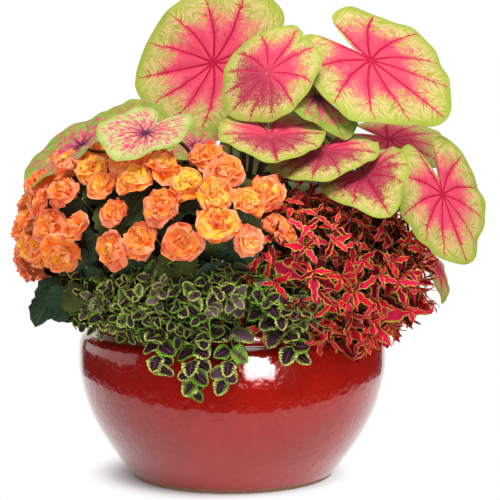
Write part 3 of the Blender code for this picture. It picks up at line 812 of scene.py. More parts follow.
def flushed_colour(finish, settings, kind, x, gap, share, grain, clouds, barbs):
    """Pink heart that breaks up into a lime margin; on the mauve kind its tip half is duskier."""
    near = finish.step(gap, 0.080, 0.0)
    chance = 1.56 - 1.72 * share + near * (0.08 + 0.26 * share) + 1.0 * (clouds - 0.5)
    if kind == "mauve":
        chance = chance + 0.12
    flush = finish.step(grain, chance + 0.11, chance - 0.11)
    streaked = finish.step(barbs, 0.40, 0.60)
    lime = finish.mix(streaked, settings.margin, (0.36, 0.42, 0.035))
    cream = finish.step(chance, -0.50, 0.40) * finish.step(barbs + 0.5 * (grain - 0.5), 0.62, 0.40)
    lime = finish.mix(cream * 0.85, lime, (0.83, 0.58, 0.30))
    lime = finish.mix(finish.step(share, 0.84, 0.99) * 0.7, lime, (0.34, 0.44, 0.035))
    paler = finish.step(chance, 1.05, 0.45) * (0.45 + 0.9 * grain)
    heart = finish.mix(paler, settings.flush, (0.90, 0.22, 0.20))
    heart = finish.mix(near * finish.step(share, 0.05, 0.5) * 0.5, heart, (0.70, 0.025, 0.095))
    if kind == "mauve":
        shade = finish.step(x + 0.25 * clouds, -0.05, 0.30)
        heart = finish.mix(shade * 0.92, heart, settings.mauve)
        speck = finish.step(grain + 0.6 * (barbs - 0.5), 0.52, 0.66) * finish.step(share, 0.15, 0.50)
        heart = finish.mix(speck * shade * 0.65, heart, (0.66, 0.24, 0.16))
    return finish.mix(flush, lime, heart)


def blotched_colour(finish, run, bent, share, mood, grain, clouds):
    """Strips of pink blotches between the veins on green, thinner towards the margin."""
    x_way = finish.joined(run * 11.0, bent * 4.5, mood * 9.0)
    blots = finish.noise(x_way, 1.0, 5.0, 0.75)
    strips = finish.noise(finish.joined(run * 6.0, bent * 11.0, mood * 5.0), 1.0, 3.0, 0.7)
    chance = 3.8 * (0.55 * blots + 0.45 * strips) - 1.10 - 0.58 * share
    flush = finish.step(grain * 0.7 + 0.15, chance + 0.06, chance - 0.06)
    pale = finish.step(finish.math("FRACT", mood * 3.7), 0.60, 0.98)
    pale = finish.mix(pale, (0.22, 0.40, 0.030), (0.60, 0.62, 0.25))
    ground = finish.mix(finish.step(clouds, 0.40, 0.62) * 0.6, pale, (0.46, 0.56, 0.10))
    ground = finish.mix(finish.step(share, 0.84, 0.98) * 0.6, ground, (0.30, 0.46, 0.050))
    petal = finish.mix(grain, (0.86, 0.085, 0.25), (0.70, 0.030, 0.11))
    return finish.mix(flush, ground, petal)


def stalk_finish():
    """Fleshy stalk: pale green flushed wine red, darker and mottled towards the soil."""
    finish = Finish("caladium_stalk", roughness=0.45, specular_ior_level=0.2)
    along, _, _ = finish.parts(finish.map("run"))
    mottle = finish.noise(finish.place(), 130.0, 3.0, 0.6)
    colour = finish.mix(along + 0.5 * mottle - 0.3, (0.05, 0.022, 0.018), (0.26, 0.17, 0.07))
    colour = finish.mix(finish.step(mottle, 0.5, 0.7) * 0.6, colour, (0.28, 0.03, 0.06))
    finish.feed("Base Color", colour)
    return finish


def stalk_path(index, leaf, thickness):
    """Cubic Bezier from the crown in the soil, straight up, then over to the blade's underside."""
    at = np.array(leaf[:3])
    tip, _, face = leaf_axes(*leaf[3:6])
    radius = CROWN_RADII[index % len(CROWN_RADII)]
    bearing = math.atan2(at[1], at[0])
    foot = np.array((radius * math.cos(bearing), radius * math.sin(bearing), SOIL_TOP - 0.006))
    lift = foot + (0, 0, leaf[12])
    arrive = at + (-0.28 * tip - 0.68 * face) * leaf[6]
    end = at - face * thickness
    share = np.linspace(0, 1, 26)[:, None]
    left = 1 - share
    return left**3 * foot + 3 * left**2 * share * lift + 3 * left * share**2 * arrive + share**3 * end


class PLANTING_OT_caladium(bpy.types.Operator):
    """Caladium leaves, each on its own stalk"""

    bl_idname = "planting.caladium"
    bl_label = "Caladium"

    def execute(self, context):
        settings = context.scene.planting_caladium
        finishes = {
            kind: caladium_finish(f"caladium_{kind}", settings, kind)
            for kind in ("flushed", "mauve", "blotched")
        }
        stalks = []
        for index, leaf in enumerate(CALADIUM):
            self.add_leaf(index, leaf, settings, finishes[leaf[13]])
            stalks.append(stalk_path(index, leaf, 0.6 * settings.thickness))
        radii = settings.stalk * (1.35 - 0.55 * np.linspace(0, 1, 26))
        points, groups, run = tubes(stalks, np.tile(radii, (len(stalks), 1)), 10)
        add_piece(
            "caladium_stalks", points, groups, stalk_finish(), (), {"run": [run, run]}
        )
        return {"FINISHED"}

    def add_leaf(self, index, leaf, settings, finish):
        rows, columns = 26, 96
        turn = np.linspace(0, 2 * math.pi, columns, endpoint=False)
        angles = turn - 0.3 * np.sin(2 * turn)
        angles = np.where(angles > math.pi, angles - 2 * math.pi, angles)
        upper, share = caladium_surface(leaf, np.linspace(0.0, 1, rows + 1)[1:], angles, index)
        low_rows = upper[3::4]
        low_rows = low_rows[:-1] if len(upper[3::4]) * 4 == rows else low_rows
        low_share = share[3::4][: len(low_rows)]
        body = 1 - 0.55 * low_share[..., None]
        lower = low_rows - body * settings.thickness * np.array((0, 0, 1.0))
        centre = np.array([[0.0, 0.0, 0.0], [0.0, 0.0, -settings.thickness]])
        local = np.concatenate([upper.reshape(-1, 3), lower.reshape(-1, 3), centre])
        tip, side, face = leaf_axes(*leaf[3:6])
        points = np.array(leaf[:3]) + local @ np.array([tip, side, face])
        top, bottom = rows * columns, rows * columns + lower.shape[0] * columns
        here = np.arange(columns)
        beside = (here + 1) % columns
        upper_quads = grid_faces(rows, columns, True)
        upper_fan = np.stack([np.full(columns, bottom), here, beside], axis=1)
        lower_quads = top + grid_faces(lower.shape[0], columns, True)[:, ::-1]
        last = top + (lower.shape[0] - 1) * columns
        rim = np.stack(
            [last + beside, top - columns + beside, top - columns + here, last + here], axis=1
        )
        lower_fan = np.stack([np.full(columns, bottom + 1), top + beside, top + here], axis=1)
        groups = [upper_quads, upper_fan, lower_quads, rim, lower_fan]
        blade = local[:, :2] / leaf[6]
        shares = np.concatenate([share.ravel(), low_share.ravel(), [0.0, 0.0]])
        mood = (index * 0.618) % 1.0
        edge = np.stack([shares, np.full(len(shares), mood)], axis=1)
        under = np.zeros((len(shares), 2))
        low, high = blade.min(axis=0), blade.max(axis=0)
        spread = (blade - low) / (high - low)
        bakes = [spread * (0.46, 0.94) + (left, 0.03) for left in (0.02, 0.52)]
        sides = (0, 0, 1, 1, 1)
        maps = {
            "OFBake": [bakes[which] for which in sides],
            "blade": [blade] * 5,
            "edge": [edge] * 5,
            "under": [under + which for which in sides],
        }
        node = f"caladium_leaf_{index + 1:02d}"
        rim = (np.arange(len(points)) >= top - columns) & (np.arange(len(points)) < top)
        name = f"caladium_blade_{index + 1:02d}"
        add_piece(name, points, groups, finish, [node], maps, rim)


# ---- mounds and shoots --------------------------------------------------------------------------


def mound_point(mound, across, turn, grow=0.0):
    """Skin of a foliage mound and its outward direction. across runs from end to end of the
    crescent, and turn round its section: 0 outwards, 90 degrees up."""
    start, end, middle_radius, height, reach, rise, climb = mound
    middle, half = math.radians(start + end) / 2, math.radians(end - start) / 2
    ring = np.sqrt(np.maximum(1 - across**2, 0)) ** 0.65
    outward, upward = ring * np.cos(turn), ring * np.sin(turn)
    bearing = middle + half * across
    radius = middle_radius + (reach + grow) * outward
    points = np.stack(
        [
            radius * np.cos(bearing),
            radius * np.sin(bearing),
            height + climb * across + (rise + grow) * upward,
        ],
        axis=-1,
    )
    radial = np.stack([np.cos(bearing), np.sin(bearing), 0 * bearing], axis=-1)
    tangent = np.stack([-np.sin(bearing), np.cos(bearing), 0 * bearing], axis=-1)
    ends = across / (half * middle_radius) * 0.9
    outwards = (
        radial * (np.cos(turn) / reach)[..., None]
        + np.array((0, 0, 1.0)) * (np.sin(turn) / rise)[..., None]
        + tangent * ends[..., None]
    )
    return points, unit(outwards)


def scattered(mound, spacing, turns, seed, grow=0.0, keep_clear=()):
    """Spots on a mound's skin no nearer to each other than spacing, nor to the points of
    keep_clear than their own distance: seeded candidates, taken in order while they fit."""
    rng = np.random.default_rng(seed)
    candidates = 6000
    across = rng.uniform(-0.985, 0.985, candidates)
    turn = np.radians(rng.uniform(turns[0], turns[1], candidates))
    points, outwards = mound_point(mound, across, turn, grow)
    taken = []
    for index in range(candidates):
        point = points[index]
        if taken and (np.linalg.norm(points[taken] - point, axis=1) < spacing).any():
            continue
        if any(np.linalg.norm(point - np.array(spot)) < room for spot, room in keep_clear):
            continue
        taken.append(index)
    return points[taken], outwards[taken]


def any_square(vectors, rng):
    """A seeded direction square to each vector."""
    guess = rng.normal(size=vectors.shape)
    return unit(np.cross(vectors, guess))


def shoot_leaves(tips, axes, pairs, internode, length, spread, seed):
    """Leaves of upright shoots in crossed pairs: pair k stands k internodes below the tip, and is
    larger and opens wider than the one above. Returns origins, directions, faces, lengths, ages
    and the number of each leaf's shoot."""
    rng = np.random.default_rng(seed)
    count = len(tips)
    first = any_square(axes, rng)
    second = np.cross(axes, first)
    size = rng.uniform(0.85, 1.15, count)
    rows = []
    for pair in range(pairs):
        age = (pair + 0.6) / pairs
        for sign in (1, -1):
            turn = pair * math.pi / 2 + rng.uniform(-0.25, 0.25, count)
            outwards = sign * (first * np.cos(turn)[:, None] + second * np.sin(turn)[:, None])
            opened = np.radians(spread[0] + (spread[1] - spread[0]) * age + rng.uniform(-12, 12, count))
            cosine, sine = np.cos(opened)[:, None], np.sin(opened)[:, None]
            along = cosine * axes + sine * outwards
            along = unit(along - (0, 0, 0.10 + 0.25 * age))
            face = sine * axes - cosine * outwards
            lengths = length * size * (0.42 + 0.58 * min(1.0, 1.5 * age)) * rng.uniform(0.85, 1.15, count)
            origin = tips - axes * (pair * internode * size)[:, None]
            rows.append((origin, along, face, lengths, np.full(count, age), np.arange(count)))
    return [np.concatenate(column) for column in zip(*rows)]


def trail_leaves(paths, step, length, seed):
    """Leaves of trailing shoots: crossed pairs every step along each path, smaller to its tip."""
    rng = np.random.default_rng(seed)
    rows = []
    for number, path in enumerate(paths):
        line = smooth_through(path, 24)
        gaps = np.linalg.norm(np.diff(line, axis=0), axis=1)
        travel = np.concatenate([[0], np.cumsum(gaps)])
        stops = np.arange(0.0, travel[-1] + 1e-9, step)
        spots = np.stack([np.interp(stops, travel, line[:, axis]) for axis in range(3)], axis=1)
        run = unit(np.gradient(spots, axis=0))
        outwards = unit(spots * (1, 1, 0))
        side = unit(np.cross(run, outwards))
        front = np.cross(side, run)
        for order, (spot, way, across, out) in enumerate(zip(spots, run, side, front)):
            age = 1 - order / len(spots)
            for turn in (0.15, math.pi - 0.15) if order % 2 else (0.5 * math.pi, 1.15 * math.pi):
                turn += rng.uniform(-0.35, 0.35)
                leaving = across * math.cos(turn) + out * math.sin(turn)
                opened = math.radians(rng.uniform(35, 60) + 18 * age)
                along = way * math.cos(opened) + leaving * math.sin(opened)
                face = unit(out * 1.2 + way * -0.4 + across * rng.uniform(-0.5, 0.5))
                size = length * (0.55 + 0.45 * age) * rng.uniform(0.85, 1.15)
                rows.append((spot, along, face, size, age, number))
    return [np.array(column) for column in zip(*rows)]


def square_face(along, face):
    """The face direction made square to the leaf's run."""
    return unit(face - along * (face * along).sum(axis=-1, keepdims=True))


def toothed_leaf(
    grid, lengths, width, tooth, fold, droop, widest, seed, blunt=0.85, thickness=0.0005, lobes=0.0
):
    """A toothed leaf: half width follows sin(pi u^k), with k set so that it is widest there, and
    its edge steps out and in from row to row. It folds up from the midrib and droops to its tip."""
    rng = np.random.default_rng(seed)
    count = len(lengths)
    power = math.log(0.5) / math.log(widest)
    half = width * np.sin(math.pi * np.minimum(grid.u, 1 - 1e-9) ** power) ** blunt
    half = np.where(grid.u >= 1, 0.0, half)
    teeth = np.where(grid.edge, np.where(grid.row % 2 == 1, tooth, -tooth), 0.0)
    broad = rng.uniform(0.88, 1.12, (count, 1))
    curl = droop * rng.uniform(0.4, 1.6, (count, 1))
    lift = fold * rng.uniform(0.4, 1.5, (count, 1))
    phase = rng.uniform(0, 2 * math.pi, (count, 1))
    along = grid.u + 0.25 * np.maximum(teeth, 0) * width + 0 * broad
    across = grid.v * half * (1 + teeth + lobes * np.sin(15 * grid.u + 3 * phase)) * broad
    cockle = 0.18 * np.abs(grid.v) * np.sin(9 * grid.u + phase)
    frill = half * (cockle + 0.12 * grid.v * np.sin(7 * grid.u + 2 * phase))
    up = lift * np.abs(grid.v) * half - curl * grid.u**2 + frill
    local = np.stack([along, across, up], axis=-1) * lengths[:, None, None]
    local[..., 2] -= grid.under * thickness
    return local


# ---- begonia ------------------------------------------------------------------------------------


def petal_finish(settings):
    """Petal: yellow in the throat, orange body, salmon edge, fine streaks from base to tip. Some flowers are
    yellower than others, and the outer petals pinker. The petals glow orange-red a little, painted light in
    place of the light that shines through them; the bases and the creases along the streaks are darkened
    red-orange as painted shade."""
    finish = Finish("begonia_petal", roughness=0.55, specular_ior_level=0.25, emission_strength=0.12)
    u, v, _ = finish.parts(finish.map("blade"))
    vary, whorl, _ = finish.parts(finish.map("vary"))
    under, _, _ = finish.parts(finish.map("under"))
    streak = finish.noise(finish.joined(u * 2.0, v * 14.0, vary * 31.0), 1.0, 3.0, 0.6)
    blot = finish.noise(finish.joined(u * 3.0, v * 3.0, vary * 17.0), 1.0, 2.0, 0.5)
    yellower = finish.math("FRACT", vary * 7.13)
    inner = 0.75 * whorl + 0.75 * (1.0 - u) + 0.9 * (blot - 0.5) + 0.4 * (streak - 0.5)
    yellow = finish.step(inner + 1.1 * (yellower - 0.5), 0.36, 0.84)
    colour = finish.mix(yellow * 0.9, settings.petal, settings.throat)
    side = finish.step(abs(v - 0.5), 0.42, 0.50)
    edge = finish.step(u + 0.40 * (blot - 0.5), 0.84, 1.0) + side * 0.7
    colour = finish.mix(edge * (0.90 - 0.45 * whorl), colour, settings.blush)
    outer = finish.step(whorl, 0.30, 0.0) * finish.step(yellower, 0.65, 0.1)
    colour = finish.mix(outer * 0.70, colour, (0.93, 0.30, 0.185))
    # the streaks are fine veins; their red-orange also paints shade in the creases along them
    colour = finish.mix(finish.step(streak, 0.53, 0.66) * 0.55, colour, (0.90, 0.120, 0.014))
    # painted shade: the petal's base, deep in the flower where the petals overlap, is darkened red-orange
    base = finish.step(u, 0.62, 0.14) * (1.0 - 0.55 * yellow)
    colour = finish.mix(base * 0.88, colour, (0.62, 0.045, 0.006))
    colour = finish.mix(under * 0.60, colour, (0.90, 0.26, 0.150))
    finish.feed("Base Color", colour)
    # painted light: the petals glow orange-red, standing in for light shining through them, so that their
    # shaded parts stay bright
    finish.feed("Emission Color", finish.mix(0.65, colour, (1.0, 0.13, 0.004)))
    finish.bump(streak, 0.25, 0.0008)
    return finish


def begonia_leaf_finish(settings):
    """Dark leaf with paler veins that leave the midrib at a slant, and a wine-red underside."""
    finish = Finish("begonia_leaf", roughness=0.40, specular_ior_level=0.05)
    u, v, _ = finish.parts(finish.map("blade"))
    vary, _, _ = finish.parts(finish.map("vary"))
    under, _, _ = finish.parts(finish.map("under"))
    off = abs(v - 0.5) * 2.0
    cloud = finish.noise(finish.joined(u * 4.0, v * 4.0, vary * 23.0), 1.0, 4.0, 0.65)
    slant = abs(finish.math("FRACT", (u - off * 0.35) * 6.0 + cloud * 0.4) - 0.5)
    vein = finish.step(slant, 0.08, 0.02) + finish.step(off, 0.08, 0.02)
    pale = tuple(2.4 * channel for channel in settings.leaf)
    colour = finish.mix(cloud, tuple(0.55 * c for c in settings.leaf), pale)
    olive = finish.step(finish.math("FRACT", vary * 5.7), 0.76, 0.84)
    colour = finish.mix(olive * 0.8, colour, (0.085, 0.105, 0.020))
    colour = finish.mix(vein * 0.40, colour, (0.13, 0.19, 0.10))
    colour = finish.mix(under * 0.7, colour, (0.060, 0.040, 0.030))
    finish.feed("Base Color", colour)
    finish.feed("Roughness", 0.32 + 0.2 * cloud)
    finish.bump(0.9 * cloud - 0.5 * vein, 0.7, 0.0020)
    return finish


def stem_finish():
    """Juicy red-brown stems, greener towards their tips."""
    finish = Finish("begonia_stem", roughness=0.35)
    along, _, _ = finish.parts(finish.map("run"))
    mottle = finish.noise(finish.place(), 90.0, 2.0)
    colour = finish.mix(along + mottle - 0.5, (0.26, 0.060, 0.030), (0.30, 0.26, 0.06))
    finish.feed("Base Color", colour)
    return finish


WHORLS = (
    # petals added to the outer count, petal length over flower radius, start and end lean, width
    (0, 1.12, 60, 112, 0.66),
    (0, 1.06, 46, 92, 0.66),
    (-1, 0.94, 32, 74, 0.64),
    (-1, 0.80, 18, 54, 0.62),
    (-2, 0.60, 6, 34, 0.62),
)


def flower_petals(centre, facing, radius, petals, seed, grid):
    """One double flower: whorls of petals that start at its base, lean out by less and less, and
    carry ruffled, rounded ends. A petal's run turns steadily from its start to its end lean."""
    rng = np.random.default_rng(seed)
    facing = unit(np.asarray(facing, float))
    first = unit(np.cross(facing, rng.normal(size=3)))
    second = np.cross(facing, first)
    locals_, origins, alongs, faces, varies = [], [], [], [], []
    for order, (fewer, reach, lean_start, lean_end, width) in enumerate(WHORLS):
        count = max(3, petals + fewer)
        turn = (np.arange(count) + 0.5 * (order % 2)) / count * 2 * math.pi + order * 0.7
        turn = turn + rng.uniform(-0.32, 0.32, count)
        begin = np.radians(lean_start + rng.uniform(-14, 10, (count, 1)))
        bend = np.radians(lean_end - lean_start + rng.uniform(-22, 22, (count, 1)))
        size = radius * reach * rng.uniform(0.80, 1.12, (count, 1))
        lean = begin + bend * grid.u
        out = (np.cos(begin) - np.cos(lean)) / bend
        rise = (np.sin(lean) - np.sin(begin)) / bend
        rounded = np.sqrt(np.maximum(1 - (np.maximum(grid.u - 0.5, 0) / 0.5) ** 2, 0))
        half = width * (0.25 + 0.75 * np.sin(math.pi * np.minimum(grid.u, 0.5))) * rounded
        phase = rng.uniform(0, 2 * math.pi, (count, 2))
        across = grid.v * half * (1 + 0.12 * np.sin(9 * grid.u + phase[:, :1]))
        ruffle = grid.u**1.4 * (
            0.18 * np.sin(4.2 * grid.v + phase[:, :1])
            + 0.17 * np.sin(6.6 * grid.v + 4.0 * grid.u + phase[:, 1:])
        )
        cup = 0.34 * grid.v**2 * half * (1.1 - 0.9 * grid.u)
        inward = ruffle + cup - 0.0004 / size * grid.under
        frayed = 1 + 0.10 * grid.u**2 * np.sin(6.0 * grid.v + phase[:, 1:])
        normal_out, normal_up = -np.cos(lean), np.sin(lean)
        local = np.stack(
            [
                (out * frayed + inward * normal_out) * size,
                across * size,
                (rise * frayed + inward * normal_up) * size - 0.35 * radius,
            ],
            axis=-1,
        )
        locals_.append(local)
        radial = first * np.cos(turn)[:, None] + second * np.sin(turn)[:, None]
        alongs.append(radial)
        faces.append(np.tile(facing, (count, 1)))
        origins.append(np.tile(centre, (count, 1)))
        whorl = order / (len(WHORLS) - 1)
        varies.append(np.stack([np.full(count, rng.uniform()), np.full(count, whorl)], axis=1))
    # every petal of a flower shares the flower's own tone, nudged a little
    tone = rng.uniform()
    vary = np.concatenate(varies)
    vary[:, 0] = (tone + 0.04 * vary[:, 0]) % 1.0
    return [np.concatenate(part) for part in (locals_, origins, alongs, faces)] + [vary]


class PLANTING_OT_begonia_flowers(bpy.types.Operator):
    """Double begonia flowers"""

    bl_idname = "planting.begonia_flowers"
    bl_label = "Begonia Flowers"

    def execute(self, context):
        settings = context.scene.planting_begonia
        finish = petal_finish(settings)
        grid = BladeGrid(6, 7, 5, 1.5)
        crown = np.array((0.0, 0.0, 0.21))
        seats = []
        names = sorted(name for name in frame["nodes"] if name.startswith("begonia_flower"))
        for index, name in enumerate(names):
            low, high = (np.array(corner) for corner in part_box(name))
            centre, radius = (low + high) / 2, float(max(high - low)) / 2
            seats.append((centre, 2.0 * radius * 0.9))
            parts = flower_petals(centre, centre - crown, radius * 1.08, settings.petals, 40 + index, grid)
            local, origin, along, face, vary = parts
            bloom = f"begonia_bloom_{index + 1:02d}"
            add_blades(bloom, grid, local, origin, along, face, finish, [name], vary)
        own = [(centre, FRONT_ROOM) for centre, _ in seats]
        front, outwards = scattered(BEGONIA_MOUND, FRONT_SPACING, FRONT_TURNS, 5, 0.004, own)
        bearing = np.degrees(np.arctan2(front[:, 1], front[:, 0])) % 360
        front, outwards = front[bearing >= FRONT_BEARING], outwards[bearing >= FRONT_BEARING]
        radius = 1.15 * np.random.default_rng(69).uniform(*FRONT_RADII, len(front))
        self.bunch("begonia_blooms_front", front, outwards, radius, settings, finish, grid)
        seats += [(spot, 0.040) for spot in front]
        spots, outwards = scattered(BEGONIA_MOUND, 0.043, (-30, 130), 8, 0.004, seats)
        bearing = np.degrees(np.arctan2(spots[:, 1], spots[:, 0])) % 360
        for group, (low, high) in enumerate(((90, 130), (130, 165), (165, FRONT_BEARING))):
            chosen = (bearing >= low) & (bearing < high)
            radius = np.random.default_rng(70 + group).uniform(0.021, 0.027, chosen.sum())
            name = f"begonia_blooms_side_{group + 1}"
            self.bunch(name, spots[chosen], outwards[chosen], radius, settings, finish, grid)
        return {"FINISHED"}

    def bunch(self, name, spots, outwards, radii, settings, finish, grid):
        """Several flowers as one piece."""
        rng = np.random.default_rng(len(spots))
        made = [
            flower_petals(spot, way + 0.3 * rng.normal(size=3), size, settings.petals, 300 + order, grid)
            for order, (spot, way, size) in enumerate(zip(spots, outwards, radii))
        ]
        local, origin, along, face, vary = (np.concatenate(part) for part in zip(*made))
        add_blades(name, grid, local, origin, along, face, finish, (), vary)


class PLANTING_OT_begonia_leaves(bpy.types.Operator):
    """Begonia leaves and stems under the flowers"""

    bl_idname = "planting.begonia_leaves"
    bl_label = "Begonia Leaves"

    def execute(self, context):
        settings = context.scene.planting_begonia
        finish = begonia_leaf_finish(settings)
        rng = np.random.default_rng(12)
        grid = BladeGrid(11, 7, 5)
        layers = (
            scattered(BEGONIA_MOUND, 0.036, (-75, 125), 9, -0.032),
            scattered(BEGONIA_MOUND, 0.050, (-60, 125), 10, -0.060),
            scattered(CORE_MOUND, 0.042, (-20, 120), 11, 0.0),
        )
        low = np.array(LOW_LEAVES)
        layers += ((low, unit(low * (0.6, 2.0, 0.6))),)
        spots, outwards = (np.concatenate(column) for column in zip(*layers))
        count = len(spots)
        face = unit(outwards + 0.25 * rng.normal(size=(count, 3)))
        down = np.array((0, 0, -1.0)) + 0.7 * rng.normal(size=(count, 3))
        along = unit(down - face * (down * face).sum(axis=1, keepdims=True))
        lengths = rng.uniform(0.050, 0.082, count)
        origin = spots - along * lengths[:, None] * 0.45
        local = toothed_leaf(grid, lengths, 0.43, 0.06, 0.15, 0.22, 0.40, 13, 0.65, 0.0007)
        skew = 0.22 * grid.u * (1 - grid.u)
        local[..., 1] += skew * lengths[:, None] * rng.choice([-1, 1], (count, 1))
        vary = rng.uniform(size=(count, 2))
        add_blades(
            "begonia_leaves", grid, local, origin, along, face, finish,
            ["begonia_foliage"], vary,
        )
        bearing = np.arctan2(origin[:, 1], origin[:, 0])
        foot = np.stack([0.12 * np.cos(bearing), 0.12 * np.sin(bearing), 0 * bearing + 0.205], axis=1)
        middle = (foot + origin) / 2 + (0, 0, 0.03) - 0.02 * outwards
        share = np.linspace(0, 1, 10)[None, :, None]
        paths = (
            (1 - share) ** 2 * foot[:, None]
            + 2 * share * (1 - share) * middle[:, None]
            + share**2 * origin[:, None]
        )
        radii = np.tile(0.0026 - 0.0012 * np.linspace(0, 1, 10), (count, 1))
        points, groups, run = tubes(paths, radii, 6)
        add_piece("begonia_stems", points, groups, stem_finish(), (), {"run": [run, run]})
        return {"FINISHED"}


# ---- coleus -------------------------------------------------------------------------------------


def purple_finish(settings):
    """Small leaf: dark purple heart, ragged lime edge, paler veins that slant to the teeth. Lower and deeper
    leaves are painted near black, as shade.
    """
    finish = Finish("purple_coleus_leaf", roughness=0.60, specular_ior_level=0.0)
    u, v, _ = finish.parts(finish.map("blade"))
    vary, age, _ = finish.parts(finish.map("vary"))
    under, _, _ = finish.parts(finish.map("under"))
    off = abs(v - 0.5) * 2.0
    grain = finish.noise(finish.joined(u * 16.0, v * 16.0, vary * 37.0), 1.0, 3.0, 0.7)
    ends = finish.step(u, 0.78, 1.0) + finish.step(u, 0.20, 0.0)
    slant = abs(finish.math("FRACT", (u - off * 0.22) * 9.0) - 0.5)
    depth = off + 0.60 * ends + 0.55 * (grain - 0.5) + 0.85 * (slant - 0.25)
    green = finish.step(finish.math("FRACT", vary * 9.7), 0.70, 1.0)
    heart = finish.step(depth, 0.74 - 0.45 * green, 0.64 - 0.45 * green)
    vein = finish.step(slant, 0.09, 0.02) + finish.step(off, 0.10, 0.03)
    moss = finish.mix(grain, (0.085, 0.145, 0.030), (0.32, 0.44, 0.100))
    dusty = finish.step(finish.math("FRACT", vary * 3.3), 0.60, 0.98)
    core = finish.mix(dusty, settings.purple, (0.21, 0.105, 0.150))
    core = finish.mix(vein * 0.30, core, (0.30, 0.16, 0.20))
    core = finish.mix(finish.step(grain, 0.55, 0.75) * 0.5, core, (0.055, 0.060, 0.025))
    greener = finish.step(finish.math("FRACT", vary * 6.1), 0.40, 0.75)
    rim = finish.mix(greener, settings.lime, (0.22, 0.50, 0.030))
    border = finish.mix(finish.step(depth, 0.64, 0.78), moss, rim)
    colour = finish.mix(heart, border, core)
    # painted shade: lower and deeper leaves, whose second vary value is high, are darkened near black
    colour = finish.mix(finish.step(age, 0.48, 0.95) * 0.90, colour, (0.008, 0.011, 0.004))
    finish.feed("Base Color", finish.mix(under * 0.7, colour, (0.10, 0.10, 0.07)))
    finish.bump(grain - 0.5 * vein, 0.6, 0.0008)
    return finish


def red_finish(settings):
    """Lance leaf: red to magenta, darker in the heart, with a thin greenish-gold edge. Lower and deeper
    leaves are painted maroon with dark edges, as shade.
    """
    finish = Finish("red_coleus_leaf", roughness=0.55, specular_ior_level=0.0)
    u, v, _ = finish.parts(finish.map("blade"))
    vary, age, _ = finish.parts(finish.map("vary"))
    under, _, _ = finish.parts(finish.map("under"))
    off = abs(v - 0.5) * 2.0
    grain = finish.noise(finish.joined(u * 9.0, v * 9.0, vary * 29.0), 1.0, 3.0, 0.65)
    hue = finish.math("FRACT", vary * 5.3)
    body = finish.mix(hue, settings.red, (0.95, 0.030, 0.120))
    dark = finish.step(finish.math("FRACT", vary * 11.9), 0.50, 0.85)
    heart = finish.step(off + 0.6 * (grain - 0.5), 0.62, 0.30) * (0.08 + 0.92 * dark)
    body = finish.mix(heart, body, settings.maroon)
    slant = abs(finish.math("FRACT", (u - off * 0.30) * 6.0) - 0.5)
    vein = finish.step(slant, 0.08, 0.02) + finish.step(off, 0.09, 0.03)
    body = finish.mix(vein * 0.22, body, (0.92, 0.09, 0.15))
    # painted shade: lower and deeper leaves are darkened to maroon
    body = finish.mix(finish.step(age, 0.38, 0.86) * 0.97, body, settings.maroon)
    ends = finish.step(u, 0.90, 1.0)
    edge = finish.step(off + ends * 0.3 + 0.45 * (grain - 0.5), 0.79, 0.87)
    # painted shade: the edges of lower and deeper leaves go dark too
    gold = finish.mix(finish.step(age, 0.40, 0.90), settings.gold, (0.10, 0.12, 0.015))
    finish.feed("Base Color", finish.mix(under * 0.35, finish.mix(edge, body, gold), (0.30, 0.03, 0.05)))
    finish.bump(grain - 0.5 * vein, 0.5, 0.0008)
    return finish


def with_extra(tips, outwards, spots, layer):
    """The tips with further shoots at the spots; each deeper layer stands 20 mm behind."""
    ways = unit(np.array(spots) * (1, 1, 0.6))
    return np.vstack([tips, np.array(spots) - 0.020 * layer * ways]), np.vstack([outwards, ways])


def shoot_stems(name, tips, axes, lengths, radius, finish):
    """Stems under the shoots: each runs back from its tip along the shoot, then sinks to the soil."""
    share = np.linspace(0, 1, 6)[None, :, None]
    back = tips - axes * lengths[:, None]
    foot = back * (0.75, 0.75, 1) - (0, 0, 0.05)
    foot[:, 2] = np.maximum(foot[:, 2], 0.212)
    paths = (
        (1 - share) ** 2 * tips[:, None] + 2 * share * (1 - share) * back[:, None] + share**2 * foot[:, None]
    )
    radii = np.tile(radius * (0.6 + 0.6 * np.linspace(0, 1, 6)), (len(tips), 1))
    points, groups, run = tubes(paths, radii, 5)
    add_piece(name, points, groups, finish, (), {"run": [run, run]})


